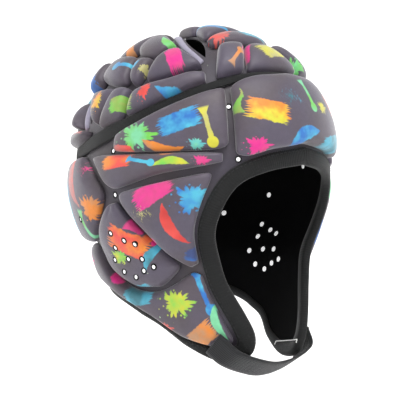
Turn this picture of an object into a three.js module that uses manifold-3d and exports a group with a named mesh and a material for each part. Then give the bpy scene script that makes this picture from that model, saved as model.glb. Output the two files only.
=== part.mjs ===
// Soft padded scrum cap: a perforated lining shell that fits the head, foam pads sewn in cells over it,
// a recessed tape between crown and band, a bound edge round face and neck, and a webbing chin strap.
// Millimetres, +Z up. The wearer faces -Y, so the wearer's right is -X.
import * as THREE from 'three';
import { mergeVertices } from 'three/addons/utils/BufferGeometryUtils.js';
import Module from 'manifold-3d';

const wasm = await Module();
wasm.setup();

// Head form, measured at the lining's inner face
const HEAD_WIDTH = 148;
const HEAD_LENGTH = 184;
const CROWN_RISE = 87;
const SIDE_DROP = 138;

// Fabric and foam
const SHELL_WALL = 2.5;
const CROWN_CLEARANCE = 0.65;
const BAND_CLEARANCE = 0.95;
const PAD_THICKNESS = 7.6;
const TRIM_WIDTH = 8;
const TRIM_THICKNESS = 1.6;
const TRIM_GAP = 0.9;
const TRIM_CLEARANCE = 0.8;
const LIP_THICKNESS = 1.8;
const CROWN_REACH = 0.6;
const BAND_REACH = 1.6;

// Bound edge
const TAPE_THICKNESS = 1.2;
const TAPE_CLEARANCE = 0.95;
const TAPE_LIFT = 1.5;
const FACE_TAPE_WIDTH = 9;
const NECK_TAPE_WIDTH = 4;
const TAPE_GAP = 1.4;

// Ventilation
const HOLE_DIAMETER = 3.8;
const HOLE_SIDES = 5;
const FRONT_VENT_WIDTH = 9.5;
const REAR_VENT_WIDTH = 8;

// Chin strap
const STRAP_WIDTH = 20;
const STRAP_THICKNESS = 1.8;
const STRAP_CLEARANCE = 0.3;
const STRAP_SPRING = 0.9;
const STRAP_TILT = 30;
const CHIN_FORWARD = 65;
const CHIN_DROP = 9;
const STRAP_SAG = 1.8;

// Mesh fineness
const SHELL_COLUMNS = 24;
const TRIM_STEPS = 32;
const STRAP_STEPS = 16;
const VENT_SEGMENTS = 4;
const SAMPLE_COUNT = 240;
const MERGE_DISTANCE = 1e-4;

const CROWN_SEAT = SHELL_WALL + CROWN_CLEARANCE;
const BAND_SEAT = SHELL_WALL + BAND_CLEARANCE;
const CUT_DEPTH = 2 * (BAND_SEAT + PAD_THICKNESS) + SHELL_WALL;
const { degToRad, radToDeg, clamp, lerp, smoothstep } = THREE.MathUtils;

// Chart of the head: turn is the angle from the forehead towards the wearer's right, and level runs from
// 0 at the top of the crown to 1 at the brow line and on down the sides. Below the brow line each row
// gives the level and the half width, front and back reach there as shares of those at the brow line.
const FORM = [
  { level: 1.0, width: 1, front: 1, back: 1 },
  { level: 1.145, width: 1.007, front: 0.989, back: 0.967 },
  { level: 1.29, width: 0.932, front: 0.957, back: 0.902 },
  { level: 1.435, width: 0.811, front: 0.902, back: 0.815 },
  { level: 1.58, width: 0.764, front: 0.88, back: 0.696 },
  { level: 1.725, width: 0.685, front: 0.891, back: 0.598 },
  { level: 1.84, width: 0.568, front: 0.913, back: 0.543 },
  { level: 1.98, width: 0.432, front: 0.87, back: 0.489 },
];

// Smooth value of one column of a table, by cubic pieces with slopes taken across the neighbours
function tableValue(rows, at, key, x) {
  const last = rows.length - 1;
  const clipped = clamp(x, rows[0][at], rows[last][at]);
  let i = 0;
  while (i < last - 1 && rows[i + 1][at] < clipped) i += 1;
  const slope = (k) => {
    const a = rows[Math.max(k - 1, 0)];
    const b = rows[Math.min(k + 1, last)];
    return (b[key] - a[key]) / (b[at] - a[at]);
  };
  const span = rows[i + 1][at] - rows[i][at];
  const s = (clipped - rows[i][at]) / span;
  const value = (2 * s ** 3 - 3 * s ** 2 + 1) * rows[i][key] + (3 * s ** 2 - 2 * s ** 3) * rows[i + 1][key];
  return value + span * ((s ** 3 - 2 * s ** 2 + s) * slope(i) + (s ** 3 - s ** 2) * slope(i + 1));
}

function formPoint(turn, level) {
  const lean = Math.min(Math.max(level, 0), 1) * Math.PI / 2;
  const height = level > 1 ? -(level - 1) * SIDE_DROP : CROWN_RISE * Math.cos(lean);
  const ring = level > 1 ? 1 : Math.sin(lean);
  const side = Math.cos(turn) > 0 ? 'front' : 'back';
  const width = tableValue(FORM, 'level', 'width', level) * HEAD_WIDTH / 2;
  const reach = tableValue(FORM, 'level', side, level) * HEAD_LENGTH / 2;
  return new THREE.Vector3(-width * ring * Math.sin(turn), -reach * ring * Math.cos(turn), height);
}

// Point of the chart at a height above the lining's inner face, measured square to it
const STEP = 0.001;
function surfacePoint([degrees, level], offset) {
  const turn = degToRad(degrees);
  const point = formPoint(turn, level);
  if (level < STEP) return point.add(new THREE.Vector3(0, 0, offset));
  return point.addScaledVector(surfaceNormal([degrees, level]), offset);
}

function surfaceNormal([degrees, level]) {
  const turn = degToRad(degrees);
  const across = formPoint(turn + STEP, level).sub(formPoint(turn - STEP, level));
  const down = formPoint(turn, level + STEP).sub(formPoint(turn, Math.max(level - STEP, 0)));
  return across.cross(down).normalize();
}

// The crown is laid out in plan: the first number runs to the wearer's right, the second to the front
const fromPlan = ([right, front]) => [radToDeg(Math.atan2(right, front)), Math.hypot(right, front)];
const toPlan = (turn, level) => [level * Math.sin(degToRad(turn)), level * Math.cos(degToRad(turn))];

// Closed solid from a mapped geometry: doubles merged, collapsed triangles dropped, faces outward
function closedSolid(geometry) {
  geometry.deleteAttribute('normal');
  geometry.deleteAttribute('uv');
  const merged = mergeVertices(geometry, MERGE_DISTANCE);
  const index = merged.index.array;
  const kept = [];
  for (let i = 0; i < index.length; i += 3) {
    const [a, b, c] = index.slice(i, i + 3);
    if (a !== b && b !== c && a !== c) kept.push(a, b, c);
  }
  const corner = (i) => new THREE.Vector3().fromBufferAttribute(merged.attributes.position, kept[i]);
  let volume = 0;
  for (let i = 0; i < kept.length; i += 3) volume += corner(i).dot(corner(i + 1).cross(corner(i + 2)));
  if (volume < 0) kept.reverse();
  merged.setIndex(kept);
  return merged;
}

function mapVertices(geometry, place) {
  const { position, uv } = geometry.attributes;
  for (let i = 0; i < position.count; i += 1) {
    const point = place(new THREE.Vector3().fromBufferAttribute(position, i), uv.getX(i), uv.getY(i));
    position.setXYZ(i, point.x, point.y, point.z);
  }
  return closedSolid(geometry);
}

const toManifold = (geometry) => new wasm.Manifold(new wasm.Mesh({
  numProp: 3,
  vertProperties: new Float32Array(geometry.attributes.position.array),
  triVerts: new Uint32Array(geometry.index.array),
}));

function cutBy(geometry, cutters) {
  const body = cutters.reduce((rest, tool) => rest.subtract(tool), toManifold(geometry));
  const { vertProperties, triVerts } = body.getMesh();
  const result = new THREE.BufferGeometry();
  result.setAttribute('position', new THREE.BufferAttribute(new Float32Array(vertProperties), 3));
  result.setIndex(new THREE.BufferAttribute(new Uint32Array(triVerts), 1));
  return result;
}

// Edge of the cap from the middle of the brow, down round the cheek and along the neck to the nape.
// fan is the turn from which the shell's rib to that point leaves the top of the crown.
const EDGE = [
  { turn: 0, level: 0.99, fan: 0 },
  { turn: 20, level: 1.024, fan: 18 },
  { turn: 35, level: 1.095, fan: 31 },
  { turn: 44.5, level: 1.25, fan: 41 },
  { turn: 47, level: 1.38, fan: 49.5 },
  { turn: 43, level: 1.55, fan: 56 },
  { turn: 34, level: 1.735, fan: 62 },
  { turn: 32.5, level: 1.84, fan: 67 },
  { turn: 38, level: 1.91, fan: 72 },
  { turn: 54, level: 1.926, fan: 79 },
  { turn: 70, level: 1.858, fan: 87 },
  { turn: 84, level: 1.742, fan: 96 },
  { turn: 110, level: 1.652, fan: 116 },
  { turn: 145, level: 1.598, fan: 147 },
  { turn: 180, level: 1.594, fan: 180 },
];
const LEVEL_WEIGHT = 100;
const edgePoints = EDGE.map(({ turn, level, fan }) => new THREE.Vector3(turn, level * LEVEL_WEIGHT, fan));
const edgeCurve = new THREE.CatmullRomCurve3(edgePoints, false, 'catmullrom');

// round runs once about the cap: 0 at the brow, 0.5 at the nape
function edgeAt(round) {
  const mirrored = round > 0.5;
  const { x, y, z } = edgeCurve.getPointAt(2 * (mirrored ? 1 - round : round));
  const sign = mirrored ? -1 : 1;
  return { turn: sign * x, level: y / LEVEL_WEIGHT, fan: sign * z };
}

const CHEEK_CORNER = 45;
const NECK_CORNER = 78;
function tapeWidthAt(round) {
  const share = smoothstep(Math.abs(edgeAt(round).turn), CHEEK_CORNER, NECK_CORNER);
  return lerp(FACE_TAPE_WIDTH, NECK_TAPE_WIDTH, share);
}

const EDGE_SAMPLES = Array.from({ length: SAMPLE_COUNT }, (_, i) => {
  const round = i / SAMPLE_COUNT;
  const { turn, level } = edgeAt(round);
  const reach = tapeWidthAt(round) + TAPE_CLEARANCE + TAPE_GAP;
  return { turn, level, reach, place: surfacePoint([turn, level], 0) };
});

// Moves a corner of a pad back from the bound edge where the tape would run into it
function clearOfTape([turn, level]) {
  const here = surfacePoint([turn, level], 0);
  let nearest = EDGE_SAMPLES[0];
  for (const sample of EDGE_SAMPLES) {
    if (sample.place.distanceToSquared(here) < nearest.place.distanceToSquared(here)) nearest = sample;
  }
  const push = Math.max(1, nearest.reach / nearest.place.distanceTo(here));
  const edgeTurn = nearest.turn + 360 * Math.round((turn - nearest.turn) / 360);
  return [lerp(edgeTurn, turn, push), lerp(nearest.level, level, push)];
}

// Seam between crown and band: its level at each turn, and the width of the tape in it
const SEAM = [
  { turn: 0, level: 0.5485, width: 0.45 },
  { turn: 24, level: 0.568, width: 0.6 },
  { turn: 48, level: 0.636, width: 0.8 },
  { turn: 66, level: 0.711, width: 0.8 },
  { turn: 88, level: 0.817, width: 1.15 },
  { turn: 104, level: 0.877, width: 1.3 },
  { turn: 125, level: 0.935, width: 1.0 },
  { turn: 180, level: 0.965, width: 0.85 },
];
const CROWN_ARC = (CROWN_RISE + (HEAD_WIDTH + HEAD_LENGTH) / 4) / 2 * Math.PI / 2;
const fromFront = (turn) => Math.abs(turn > 180 ? turn - 360 : turn);
const seamLevel = (turn) => tableValue(SEAM, 'turn', 'level', fromFront(turn));
const seamHalf = (turn) => tableValue(SEAM, 'turn', 'width', fromFront(turn)) * TRIM_WIDTH / 2 / CROWN_ARC;
const crownEdge = (turn) => seamLevel(turn) - seamHalf(turn) - TRIM_GAP / CROWN_ARC;
const bandEdge = (turn) => seamLevel(turn) + seamHalf(turn) + TRIM_GAP / CROWN_ARC;

// Lining shell: ribs fan out from the crown to the edge, outer face first and inner face back. The
// rows are shares of each rib, and lie closer together where the sides curve in below the brow.
const SHELL_ROWS = [0, 0.12, 0.24, 0.36, 0.46, 0.55, 0.63, 0.7, 0.76, 0.82, 0.87, 0.92, 0.96, 1];

function shellGeometry() {
  const outer = SHELL_ROWS.map((share) => new THREE.Vector2(share, 1));
  const inner = SHELL_ROWS.toReversed().map((share) => new THREE.Vector2(share, 0));
  const profile = [...outer, ...inner];
  const lathe = new THREE.LatheGeometry(profile, 2 * SHELL_COLUMNS);
  return mapVertices(lathe, (_, around, along) => {
    const step = Math.round(along * (profile.length - 1));
    const { turn, level, fan } = edgeAt(around % 1);
    const { x: share, y: face } = profile[step];
    return surfacePoint([lerp(fan, turn, share ** 5), share * level], face * SHELL_WALL);
  });
}

// Pad sewn in one cell: rows run from end to end, each from one side of the cell to the other. The
// chart's corners are pairs of turn and level, or pairs in plan on the crown. height is a share of the
// pad's thickness at that row; reach, extra and lift are millimetres more sideways, below and above.
const PAD_EDGE = 0.35;
const END_ROUND = 0.16;
const END_WIDTH = 0.8;
const SPREAD_ALONG = 0.03;
const SPREAD_ACROSS = 0.06;
const spread = (x, pull) => x - pull * Math.sin(2 * Math.PI * x);
const swell = (x) => Math.sqrt(1 - (2 * x - 1) ** 4);

// Corner moved on away from another, by a distance on the shell
function pushed(corner, from, distance, plan) {
  const place = (c) => surfacePoint(plan ? fromPlan(c) : c, SHELL_WALL);
  const share = distance / place(corner).distanceTo(place(from));
  return corner.map((value, i) => value + (value - from[i]) * share);
}

// Rows of a cell spread outward to the seam round it; a middle row has its pad's other half beyond it
function reachedRows(rows, reach, plan, centre) {
  const wide = rows.map(({ from, to, height }) => ({
    from: pushed(from, to, reach, plan), to: pushed(to, from, reach, plan), height,
  }));
  const end = (i, next) => ({
    from: pushed(wide[i].from, wide[next].from, reach, plan),
    to: pushed(wide[i].to, wide[next].to, reach, plan),
    height: wide[i].height,
  });
  const last = rows.length - 1;
  const result = [...wide];
  result[0] = end(0, 1);
  if (!centre) result[last] = end(last, last - 1);
  return result;
}

function clearOfTrim([turn, level]) {
  const inCrown = level < seamLevel(turn);
  return [turn, inCrown ? Math.min(level, crownEdge(turn)) : Math.max(level, bandEdge(turn))];
}

function padGeometry(spec) {
  const { rows, cells, seat, reach, plan, mirror, centre, thick = 1, lift = 0, extra = 0 } = spec;
  const half = reachedRows(rows, reach, plan, centre);
  const all = centre ? half.concat(half.slice(0, -1).reverse().map((row) => flipRow(row, plan))) : half;
  const spline = (corner) => new THREE.SplineCurve(all.map((row) => new THREE.Vector2(...row[corner])));
  const sides = [spline('from'), spline('to')];
  const heights = new THREE.SplineCurve(all.map((row, i) => new THREE.Vector2(i, row.height ?? 1)));
  const box = new THREE.BoxGeometry(1, 1, 1, cells[0], cells[1], 1);
  return mapVertices(box, ({ x, y, z }) => {
    const along = spread(x + 0.5, SPREAD_ALONG);
    const across = spread(y + 0.5, SPREAD_ACROSS);
    const end = Math.min(along, 1 - along) / END_ROUND;
    const narrow = end < 1 ? lerp(END_WIDTH, 1, Math.sqrt(1 - (1 - end) ** 2)) : 1;
    const [a, b] = sides.map((side) => side.getPoint(along));
    const corner = a.lerp(b, 0.5 + (across - 0.5) * narrow);
    const chart = plan ? fromPlan([corner.x, corner.y]) : [corner.x, corner.y];
    const place = clearOfTape(clearOfTrim(chart));
    if (mirror) place[0] *= -1;
    const full = PAD_EDGE + (1 - PAD_EDGE) * swell(along) * swell(across);
    const rise = z > 0 ? (PAD_THICKNESS * thick + lift) * heights.getPoint(along).y * full : 0;
    return surfacePoint(place, seat + extra + rise);
  });
}

function flipRow({ from, to, height }, plan) {
  const flip = ([a, b]) => (plan ? [-a, b] : [Math.abs(a) > 90 ? 360 - a : -a, b]);
  return { from: flip(from), to: flip(to), height };
}

const row = (from, to, height = 1) => ({ from, to, height });
const level = (turn, top, low) => row([turn, top], [turn, low]);

// Band pads on the wearer's right, in turn and level; the left ones are their mirror images
const SIDE_PADS = {
  brow_wedge: {
    cells: [7, 3],
    reach: 2.2,
    rows: [
      level(90, bandEdge(90) + 0.006, 0.929),
      level(79, bandEdge(79) + 0.004, 0.93),
      level(66, bandEdge(66) + 0.004, 0.93),
      level(52, bandEdge(52) + 0.004, 0.928),
      level(40.3, bandEdge(40.3) + 0.01, 0.92),
    ],
  },
  temple_bar: {
    cells: [7, 3],
    reach: 1.6,
    thick: 0.9,
    rows: [
      row([104.5, 0.972], [101, 1.022]),
      row([98, 0.968], [93.5, 1.105]),
      row([87, 0.969], [83, 1.087]),
      row([72, 0.97], [70, 1.044]),
      row([56, 0.965], [56, 1.015]),
      row([42.5, 0.965], [42.5, 0.988]),
    ],
  },
  face_wedge: {
    cells: [5, 4],
    reach: 1.5,
    extra: 0.45,
    rows: [
      row([45.5, 1.05], [88.5, 1.147]),
      row([49.8, 1.15], [83.5, 1.222]),
      row([54, 1.26], [74.5, 1.328]),
      row([55.6, 1.36], [66, 1.422]),
      row([55.3, 1.462], [58, 1.478]),
    ],
  },
  ear_pad: {
    cells: [5, 5],
    reach: 1.3,
    extra: 0.7,
    rows: [
      row([90.8, 1.186], [95, 1.192]),
      row([80.5, 1.315], [106.5, 1.31]),
      row([70.5, 1.412], [110.5, 1.41]),
      row([65, 1.49], [105.5, 1.505]),
      row([73, 1.573], [88, 1.578]),
    ],
  },
  cheek_pad: {
    cells: [14, 4],
    reach: 1.8,
    rows: [
      row([149, 1.395], [149, 1.553]),
      row([134, 1.395], [132, 1.566]),
      row([120, 1.425], [116, 1.598]),
      row([108, 1.545], [103, 1.635]),
      row([92, 1.612], [90, 1.685]),
      row([78, 1.622], [78, 1.765]),
      row([66, 1.575], [66, 1.855], 0.9),
      row([58, 1.527], [53, 1.892], 0.7),
      row([53, 1.532], [44.5, 1.85], 0.6),
    ],
  },
  rear_pad: {
    cells: [5, 4],
    extra: 0.2,
    rows: [
      row([115, bandEdge(115) + 0.012], [149, bandEdge(149) + 0.012]),
      row([106, 1.07], [150, 1.08]),
      row([100, 1.15], [151, 1.16]),
      row([109, 1.265], [151, 1.265]),
      row([119, 1.36], [149, 1.36]),
    ],
  },
};

// Pads that lie across the middle of the band; their rows run from the right to the middle
const MIDDLE_PADS = {
  forehead_pad: {
    cells: [9, 4],
    reach: 2.4,
    thick: 1.3,
    rows: [
      level(34, bandEdge(34) + 0.012, 0.962),
      level(23, bandEdge(23) + 0.004, 0.95),
      level(11, bandEdge(11) + 0.004, 0.934),
      level(0, bandEdge(0) + 0.004, 0.926),
    ],
  },
  nape_pad_upper: {
    cells: [5, 4],
    reach: 1.1,
    extra: 0.2,
    rows: [
      level(154, bandEdge(154) + 0.012, 1.36),
      level(167, bandEdge(167) + 0.006, 1.36),
      level(180, bandEdge(180) + 0.006, 1.36),
    ],
  },
  nape_pad_lower: {
    cells: [4, 3],
    rows: [
      level(153, 1.395, 1.553),
      level(167, 1.395, 1.553),
      level(180, 1.395, 1.553),
    ],
  },
};

// Crown pads on the wearer's right, numbered from the front vent backwards
const CROWN_SIDE_PADS = {
  front_corner_pad: {
    plan: true,
    cells: [4, 3],
    lift: 2.5,
    rows: [
      row([0.105, 0.352], toPlan(26.2, crownEdge(26.2))),
      row([0.16, 0.325], toPlan(34, crownEdge(34))),
      row([0.222, 0.3], toPlan(42, crownEdge(42) - 0.006)),
    ],
  },
  ring_pad_front: {
    cells: [6, 3],
    rows: [
      level(48.5, 0.556, crownEdge(48.5) - 0.002),
      level(57, 0.562, crownEdge(57)),
      level(67, 0.592, crownEdge(67)),
      level(77, 0.612, crownEdge(77)),
      level(87, 0.645, crownEdge(87)),
    ],
  },
  ring_pad_middle: {
    cells: [3, 4],
    rows: [
      level(89.8, 0.635, crownEdge(89.8)),
      level(95.5, 0.623, crownEdge(95.5)),
      row([99.7, 0.632], [103.6, crownEdge(103.6)]),
    ],
  },
  ring_pad_rear: {
    cells: [4, 4],
    reach: 0.4,
    rows: [
      row([105.4, 0.806], [107.4, 0.806]),
      row([103.7, 0.745], [113, 0.75]),
      row([102, 0.685], [118.5, 0.695]),
      row([101.5, 0.624], [123.5, 0.645]),
    ],
  },
  crown_leaf_pad: {
    plan: true,
    cells: [4, 4],
    thick: 1.1,
    rows: [
      row([0.392, 0.322], [0.407, 0.318]),
      row([0.378, 0.225], [0.457, 0.285]),
      row([0.357, 0.15], [0.517, 0.222]),
      row([0.397, 0.108], [0.563, 0.15]),
      row([0.46, 0.085], [0.583, 0.1]),
    ],
  },
  crown_slim_pad: {
    cells: [4, 2],
    rows: [
      row([84, 0.45], [95, 0.445]),
      row([84, 0.5], [94.4, 0.5]),
      row([84.6, 0.56], [92.5, 0.56]),
      row([85.3, 0.6], [89.3, 0.603]),
    ],
  },
  crown_side_pad: {
    cells: [4, 4],
    reach: 1.1,
    lift: 1,
    rows: [
      row([98.5, 0.44], [94.6, 0.602]),
      row([107, 0.43], [103.5, 0.598]),
      row([117, 0.435], [112.5, 0.58]),
      row([126.5, 0.462], [120.5, 0.57]),
    ],
  },
  crown_vent_pad: {
    plan: true,
    cells: [4, 4],
    rows: [
      row([0.327, 0.105], [0.347, 0.1]),
      row([0.292, 0.052], [0.425, 0.066]),
      row([0.247, 0], [0.43, -0.012]),
      row([0.19, -0.075], [0.402, -0.075]),
      row([0.187, -0.138], [0.325, -0.128]),
    ],
  },
  crown_top_pad: {
    plan: true,
    cells: [4, 3],
    extra: 0.15,
    reach: 1.8,
    rows: [
      row([0.024, -0.168], [0.298, -0.158]),
      row([0.02, -0.222], [0.322, -0.235]),
      row([0.022, -0.282], [0.27, -0.362]),
    ],
  },
  crown_rear_pad: {
    cells: [3, 3],
    reach: 2.4,
    lift: 3,
    rows: [
      row([130.8, 0.478], [124.6, 0.582]),
      row([134.5, 0.482], [128, 0.605]),
      row([138.2, 0.49], [131.2, 0.622]),
    ],
  },
  back_wing_pad: {
    cells: [4, 3],
    lift: 2,
    rows: [
      row([128, 0.802], [127.4, 0.818]),
      row([131, 0.786], [131.5, 0.82]),
      row([136, 0.75], [138, 0.82]),
      row([142, 0.712], [143, 0.82]),
      row([148, 0.672], [148, 0.82]),
    ],
  },
  back_ring_pad: {
    cells: [5, 2],
    reach: 0,
    rows: [
      row([113.5, 0.838], [113.5, crownEdge(113.5) - 0.006]),
      row([121, 0.837], [121, crownEdge(121)]),
      row([131, 0.838], [131, crownEdge(131)]),
      row([148, 0.84], [148, crownEdge(148)]),
    ],
  },
};

const CROWN_MIDDLE_PADS = {
  front_centre_pad: {
    plan: true,
    cells: [6, 3],
    rows: [
      row([0.083, 0.352], toPlan(22.6, crownEdge(22.6))),
      row([0.042, 0.346], toPlan(11.5, crownEdge(11.5))),
      row([0, 0.344], toPlan(0, crownEdge(0))),
    ],
  },
  tongue_bar_pad: {
    plan: true,
    cells: [6, 3],
    rows: [
      row([0.212, 0.214], [0.22, 0.262]),
      row([0.11, 0.206], [0.1, 0.316]),
      row([0, 0.203], [0, 0.322]),
    ],
  },
  back_arch_pad: {
    plan: true,
    cells: [6, 3],
    reach: 1.8,
    rows: [
      row([0.245, -0.472], [0.262, -0.54]),
      row([0.13, -0.398], [0.125, -0.545]),
      row([0, -0.355], [0, -0.552]),
    ],
  },
  back_centre_pad: {
    cells: [6, 3],
    reach: 1.8,
    extra: 0.5,
    lift: 2,
    rows: [
      level(152, 0.655, crownEdge(152)),
      level(166, 0.602, crownEdge(166)),
      level(180, 0.588, crownEdge(180)),
    ],
  },
};

// Tongue pads over the top of the crown: each row lies square across the middle line
const across = (half, front) => row([half, front], [-half, front]);
const TONGUE_PADS = {
  tongue_top_pad: {
    plan: true,
    cells: [4, 3],
    extra: 0.15,
    rows: [across(0.075, 0.03), across(0.122, 0.09), across(0.16, 0.14), across(0.183, 0.184)],
  },
  tongue_tip_pad: {
    plan: true,
    cells: [3, 3],
    reach: 1,
    rows: [across(0.018, -0.125), across(0.042, -0.06), across(0.066, 0.008)],
  },
};

// Raised fabric lips along the open edges of the vents
const VENT_LIPS = {
  front_vent_lip: {
    plan: true,
    cells: [5, 1],
    rows: [
      row([0.108, -0.05], [0.132, -0.072]),
      row([0.175, 0.02], [0.205, -0.005]),
      row([0.238, 0.085], [0.268, 0.062]),
      row([0.292, 0.16], [0.326, 0.142]),
      row([0.325, 0.238], [0.36, 0.228]),
      row([0.34, 0.3], [0.376, 0.3]),
    ],
  },
  rear_vent_lip: {
    plan: true,
    cells: [4, 1],
    rows: [
      row([0.7, -0.413], [0.712, -0.44]),
      row([0.63, -0.437], [0.642, -0.468]),
      row([0.56, -0.462], [0.571, -0.493]),
      row([0.49, -0.483], [0.5, -0.515]),
      row([0.43, -0.495], [0.438, -0.528]),
    ],
  },
};

// Vents: open slits where the crown's panels pull apart, given by their two ends in plan
const VENTS = [
  { ends: [[0.312, 0.285], [0.085, -0.032]], width: FRONT_VENT_WIDTH },
  { ends: [[0.706, -0.376], [0.433, -0.464]], width: REAR_VENT_WIDTH },
];

function ventCutter({ ends, width }, sign) {
  const [a, b] = ends.map(([right, front]) => surfacePoint(fromPlan([sign * right, front]), 0));
  const middle = fromPlan([sign * (ends[0][0] + ends[1][0]) / 2, (ends[0][1] + ends[1][1]) / 2]);
  const half = a.distanceTo(b) / 2;
  const bulge = new THREE.Shape();
  bulge.moveTo(-half, 0);
  bulge.quadraticCurveTo(0, width, half, 0);
  bulge.quadraticCurveTo(0, -width, -half, 0);
  const options = { depth: CUT_DEPTH, curveSegments: VENT_SEGMENTS, bevelEnabled: false };
  const lens = new THREE.ExtrudeGeometry(bulge, options);
  const x = b.clone().sub(a).normalize();
  const y = surfaceNormal(middle).cross(x).normalize();
  const z = x.clone().cross(y);
  const centre = a.clone().add(b).divideScalar(2).addScaledVector(z, -CUT_DEPTH / 2);
  lens.applyMatrix4(new THREE.Matrix4().makeBasis(x, y, z).setPosition(centre));
  return toManifold(closedSolid(lens));
}

// Perforations: single holes between the pads and a cluster over each ear, in turn and level
const SINGLE_HOLES = [[92.5, 1.147], [94.2, 0.937], [37.6, 0.732], [34.6, 0.984], [117.3, 1.244]];
const LEFT_HOLES = [[-68, 0.998]];
const EAR_HOLES = [
  [93.6, 1.302], [86.8, 1.331], [81.9, 1.349], [93.8, 1.366], [97.3, 1.441], [87.7, 1.431],
  [80, 1.429], [74.7, 1.48], [79.9, 1.502], [91.9, 1.511], [84.9, 1.534],
];

function holeCutter(place) {
  const drill = new THREE.CylinderGeometry(HOLE_DIAMETER / 2, HOLE_DIAMETER / 2, CUT_DEPTH, HOLE_SIDES);
  const up = new THREE.Vector3(0, 1, 0);
  drill.applyQuaternion(new THREE.Quaternion().setFromUnitVectors(up, surfaceNormal(place)));
  drill.translate(...surfacePoint(place, 0).toArray());
  return toManifold(closedSolid(drill));
}

const PAIRED_HOLES = [...SINGLE_HOLES, ...EAR_HOLES];
const MIRRORED_HOLES = PAIRED_HOLES.map(([turn, at]) => [-turn, at]);
const CUTTERS = [...PAIRED_HOLES, ...MIRRORED_HOLES, ...LEFT_HOLES].map(holeCutter);

// Recessed tape lying on the shell between crown and band
function trimGeometry() {
  const torus = new THREE.TorusGeometry(1, 0.5, 4, TRIM_STEPS);
  return mapVertices(torus, (_, around, section) => {
    const turn = (around % 1) * 360;
    const corner = Math.round(section * 4) % 4;
    const side = corner === 0 || corner === 3 ? -1 : 1;
    const rise = corner < 2 ? TRIM_THICKNESS : 0;
    const place = [turn, seamLevel(turn) + side * seamHalf(turn)];
    return surfacePoint(place, SHELL_WALL + TRIM_CLEARANCE + rise);
  });
}

// Bound edge: a tape that lies on the shell's outer face and folds down over its rim. Each corner of
// the section is a distance in from the edge and a height above the shell's outer face.
function tapeSection(width) {
  const over = TAPE_LIFT;
  const fold = -TAPE_CLEARANCE;
  return [
    [fold - TAPE_THICKNESS, -SHELL_WALL],
    [fold - TAPE_THICKNESS, over + TAPE_THICKNESS],
    [width / 2, over + TAPE_THICKNESS],
    [width, over + TAPE_THICKNESS],
    [width, over],
    [width / 2, over],
    [fold, over],
    [fold, -SHELL_WALL],
  ];
}

function stepFromEdge(round, distance) {
  const { turn, level: at } = edgeAt(round);
  const [before, after] = [round + 1 - STEP, round + STEP].map((near) => {
    const edge = edgeAt(near % 1);
    return surfacePoint([edge.turn, edge.level], 0);
  });
  const along = after.sub(before);
  const inward = along.cross(surfaceNormal([turn, at])).normalize();
  const perTurn = surfacePoint([turn + 1, at], 0).sub(surfacePoint([turn, at], 0));
  const perLevel = surfacePoint([turn, at + STEP], 0).sub(surfacePoint([turn, at], 0)).divideScalar(STEP);
  const tt = perTurn.dot(perTurn);
  const tl = perTurn.dot(perLevel);
  const ll = perLevel.dot(perLevel);
  const a = perTurn.dot(inward) * distance;
  const b = perLevel.dot(inward) * distance;
  const scale = tt * ll - tl * tl;
  return [turn + (ll * a - tl * b) / scale, at + (tt * b - tl * a) / scale];
}

function bindingGeometry() {
  const corners = tapeSection(FACE_TAPE_WIDTH).length;
  const torus = new THREE.TorusGeometry(1, 0.5, corners, 2 * SHELL_COLUMNS);
  return mapVertices(torus, (_, around, section) => {
    const round = around % 1;
    const [inward, height] = tapeSection(tapeWidthAt(round))[Math.round(section * corners) % corners];
    return surfacePoint(stepFromEdge(round, inward), SHELL_WALL + height);
  });
}

// Chin strap: flat webbing sewn outside both cheeks, hanging in a loop below and in front of the chin
const CHEEK_END = [53, 1.828];
const CHEEK_LEAVE = [44.6, 1.898];
const CHEEK_HEIGHT = 0.66;
function strapGeometry() {
  const lay = BAND_SEAT + PAD_THICKNESS * CHEEK_HEIGHT + STRAP_CLEARANCE + STRAP_THICKNESS / 2;
  const end = surfacePoint(CHEEK_END, lay);
  const leave = surfacePoint(CHEEK_LEAVE, lay + STRAP_SPRING);
  const chin = new THREE.Vector3(0, -CHIN_FORWARD, leave.z - CHIN_DROP);
  const swing = leave.clone().lerp(chin, 0.5).add(new THREE.Vector3(0, -STRAP_SAG, -STRAP_SAG));
  const right = [end, leave, swing];
  const left = right.map(({ x, y, z }) => new THREE.Vector3(-x, y, z)).reverse();
  const path = new THREE.CatmullRomCurve3([...right, chin, ...left]);
  const tilt = degToRad(STRAP_TILT);
  const upFront = new THREE.Vector3(0, -Math.cos(tilt), Math.sin(tilt));
  return mapVertices(new THREE.BoxGeometry(1, 1, 1, STRAP_STEPS, 1, 1), ({ x, y, z }) => {
    const point = path.getPointAt(x + 0.5);
    const tangent = path.getTangentAt(x + 0.5);
    const wide = upFront.clone().addScaledVector(tangent, -upFront.dot(tangent)).normalize();
    const out = wide.clone().cross(tangent);
    return point.addScaledVector(wide, y * STRAP_WIDTH).addScaledVector(out, z * STRAP_THICKNESS);
  });
}

// Materials
const finish = (color, roughness) => new THREE.MeshStandardMaterial({ color, roughness, metalness: 0 });
const LINING = () => finish(0x0b0b0c, 0.9);
const PRINT = () => finish(0x6a6473, 0.62);
const TAPE = () => finish(0x222423, 0.85);
const WEBBING = () => finish(0x2c2d2f, 0.8);

// Assembly: the origin is the inside of the crown, where the cap sits on the top of the head
const scrumCap = new THREE.Group();
scrumCap.name = 'scrum_cap';
const fitted = new THREE.Group();
fitted.position.z = -CROWN_RISE;
scrumCap.add(fitted);

function addPart(name, geometry, material) {
  const mesh = new THREE.Mesh(geometry, material);
  mesh.name = name;
  fitted.add(mesh);
}

const vents = VENTS.flatMap((vent) => [ventCutter(vent, 1), ventCutter(vent, -1)]);
addPart('lining_shell', cutBy(shellGeometry(), [...CUTTERS, ...vents]), LINING());
addPart('crown_trim', trimGeometry(), TAPE());
addPart('edge_binding', bindingGeometry(), TAPE());
addPart('chin_strap', strapGeometry(), WEBBING());

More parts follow.
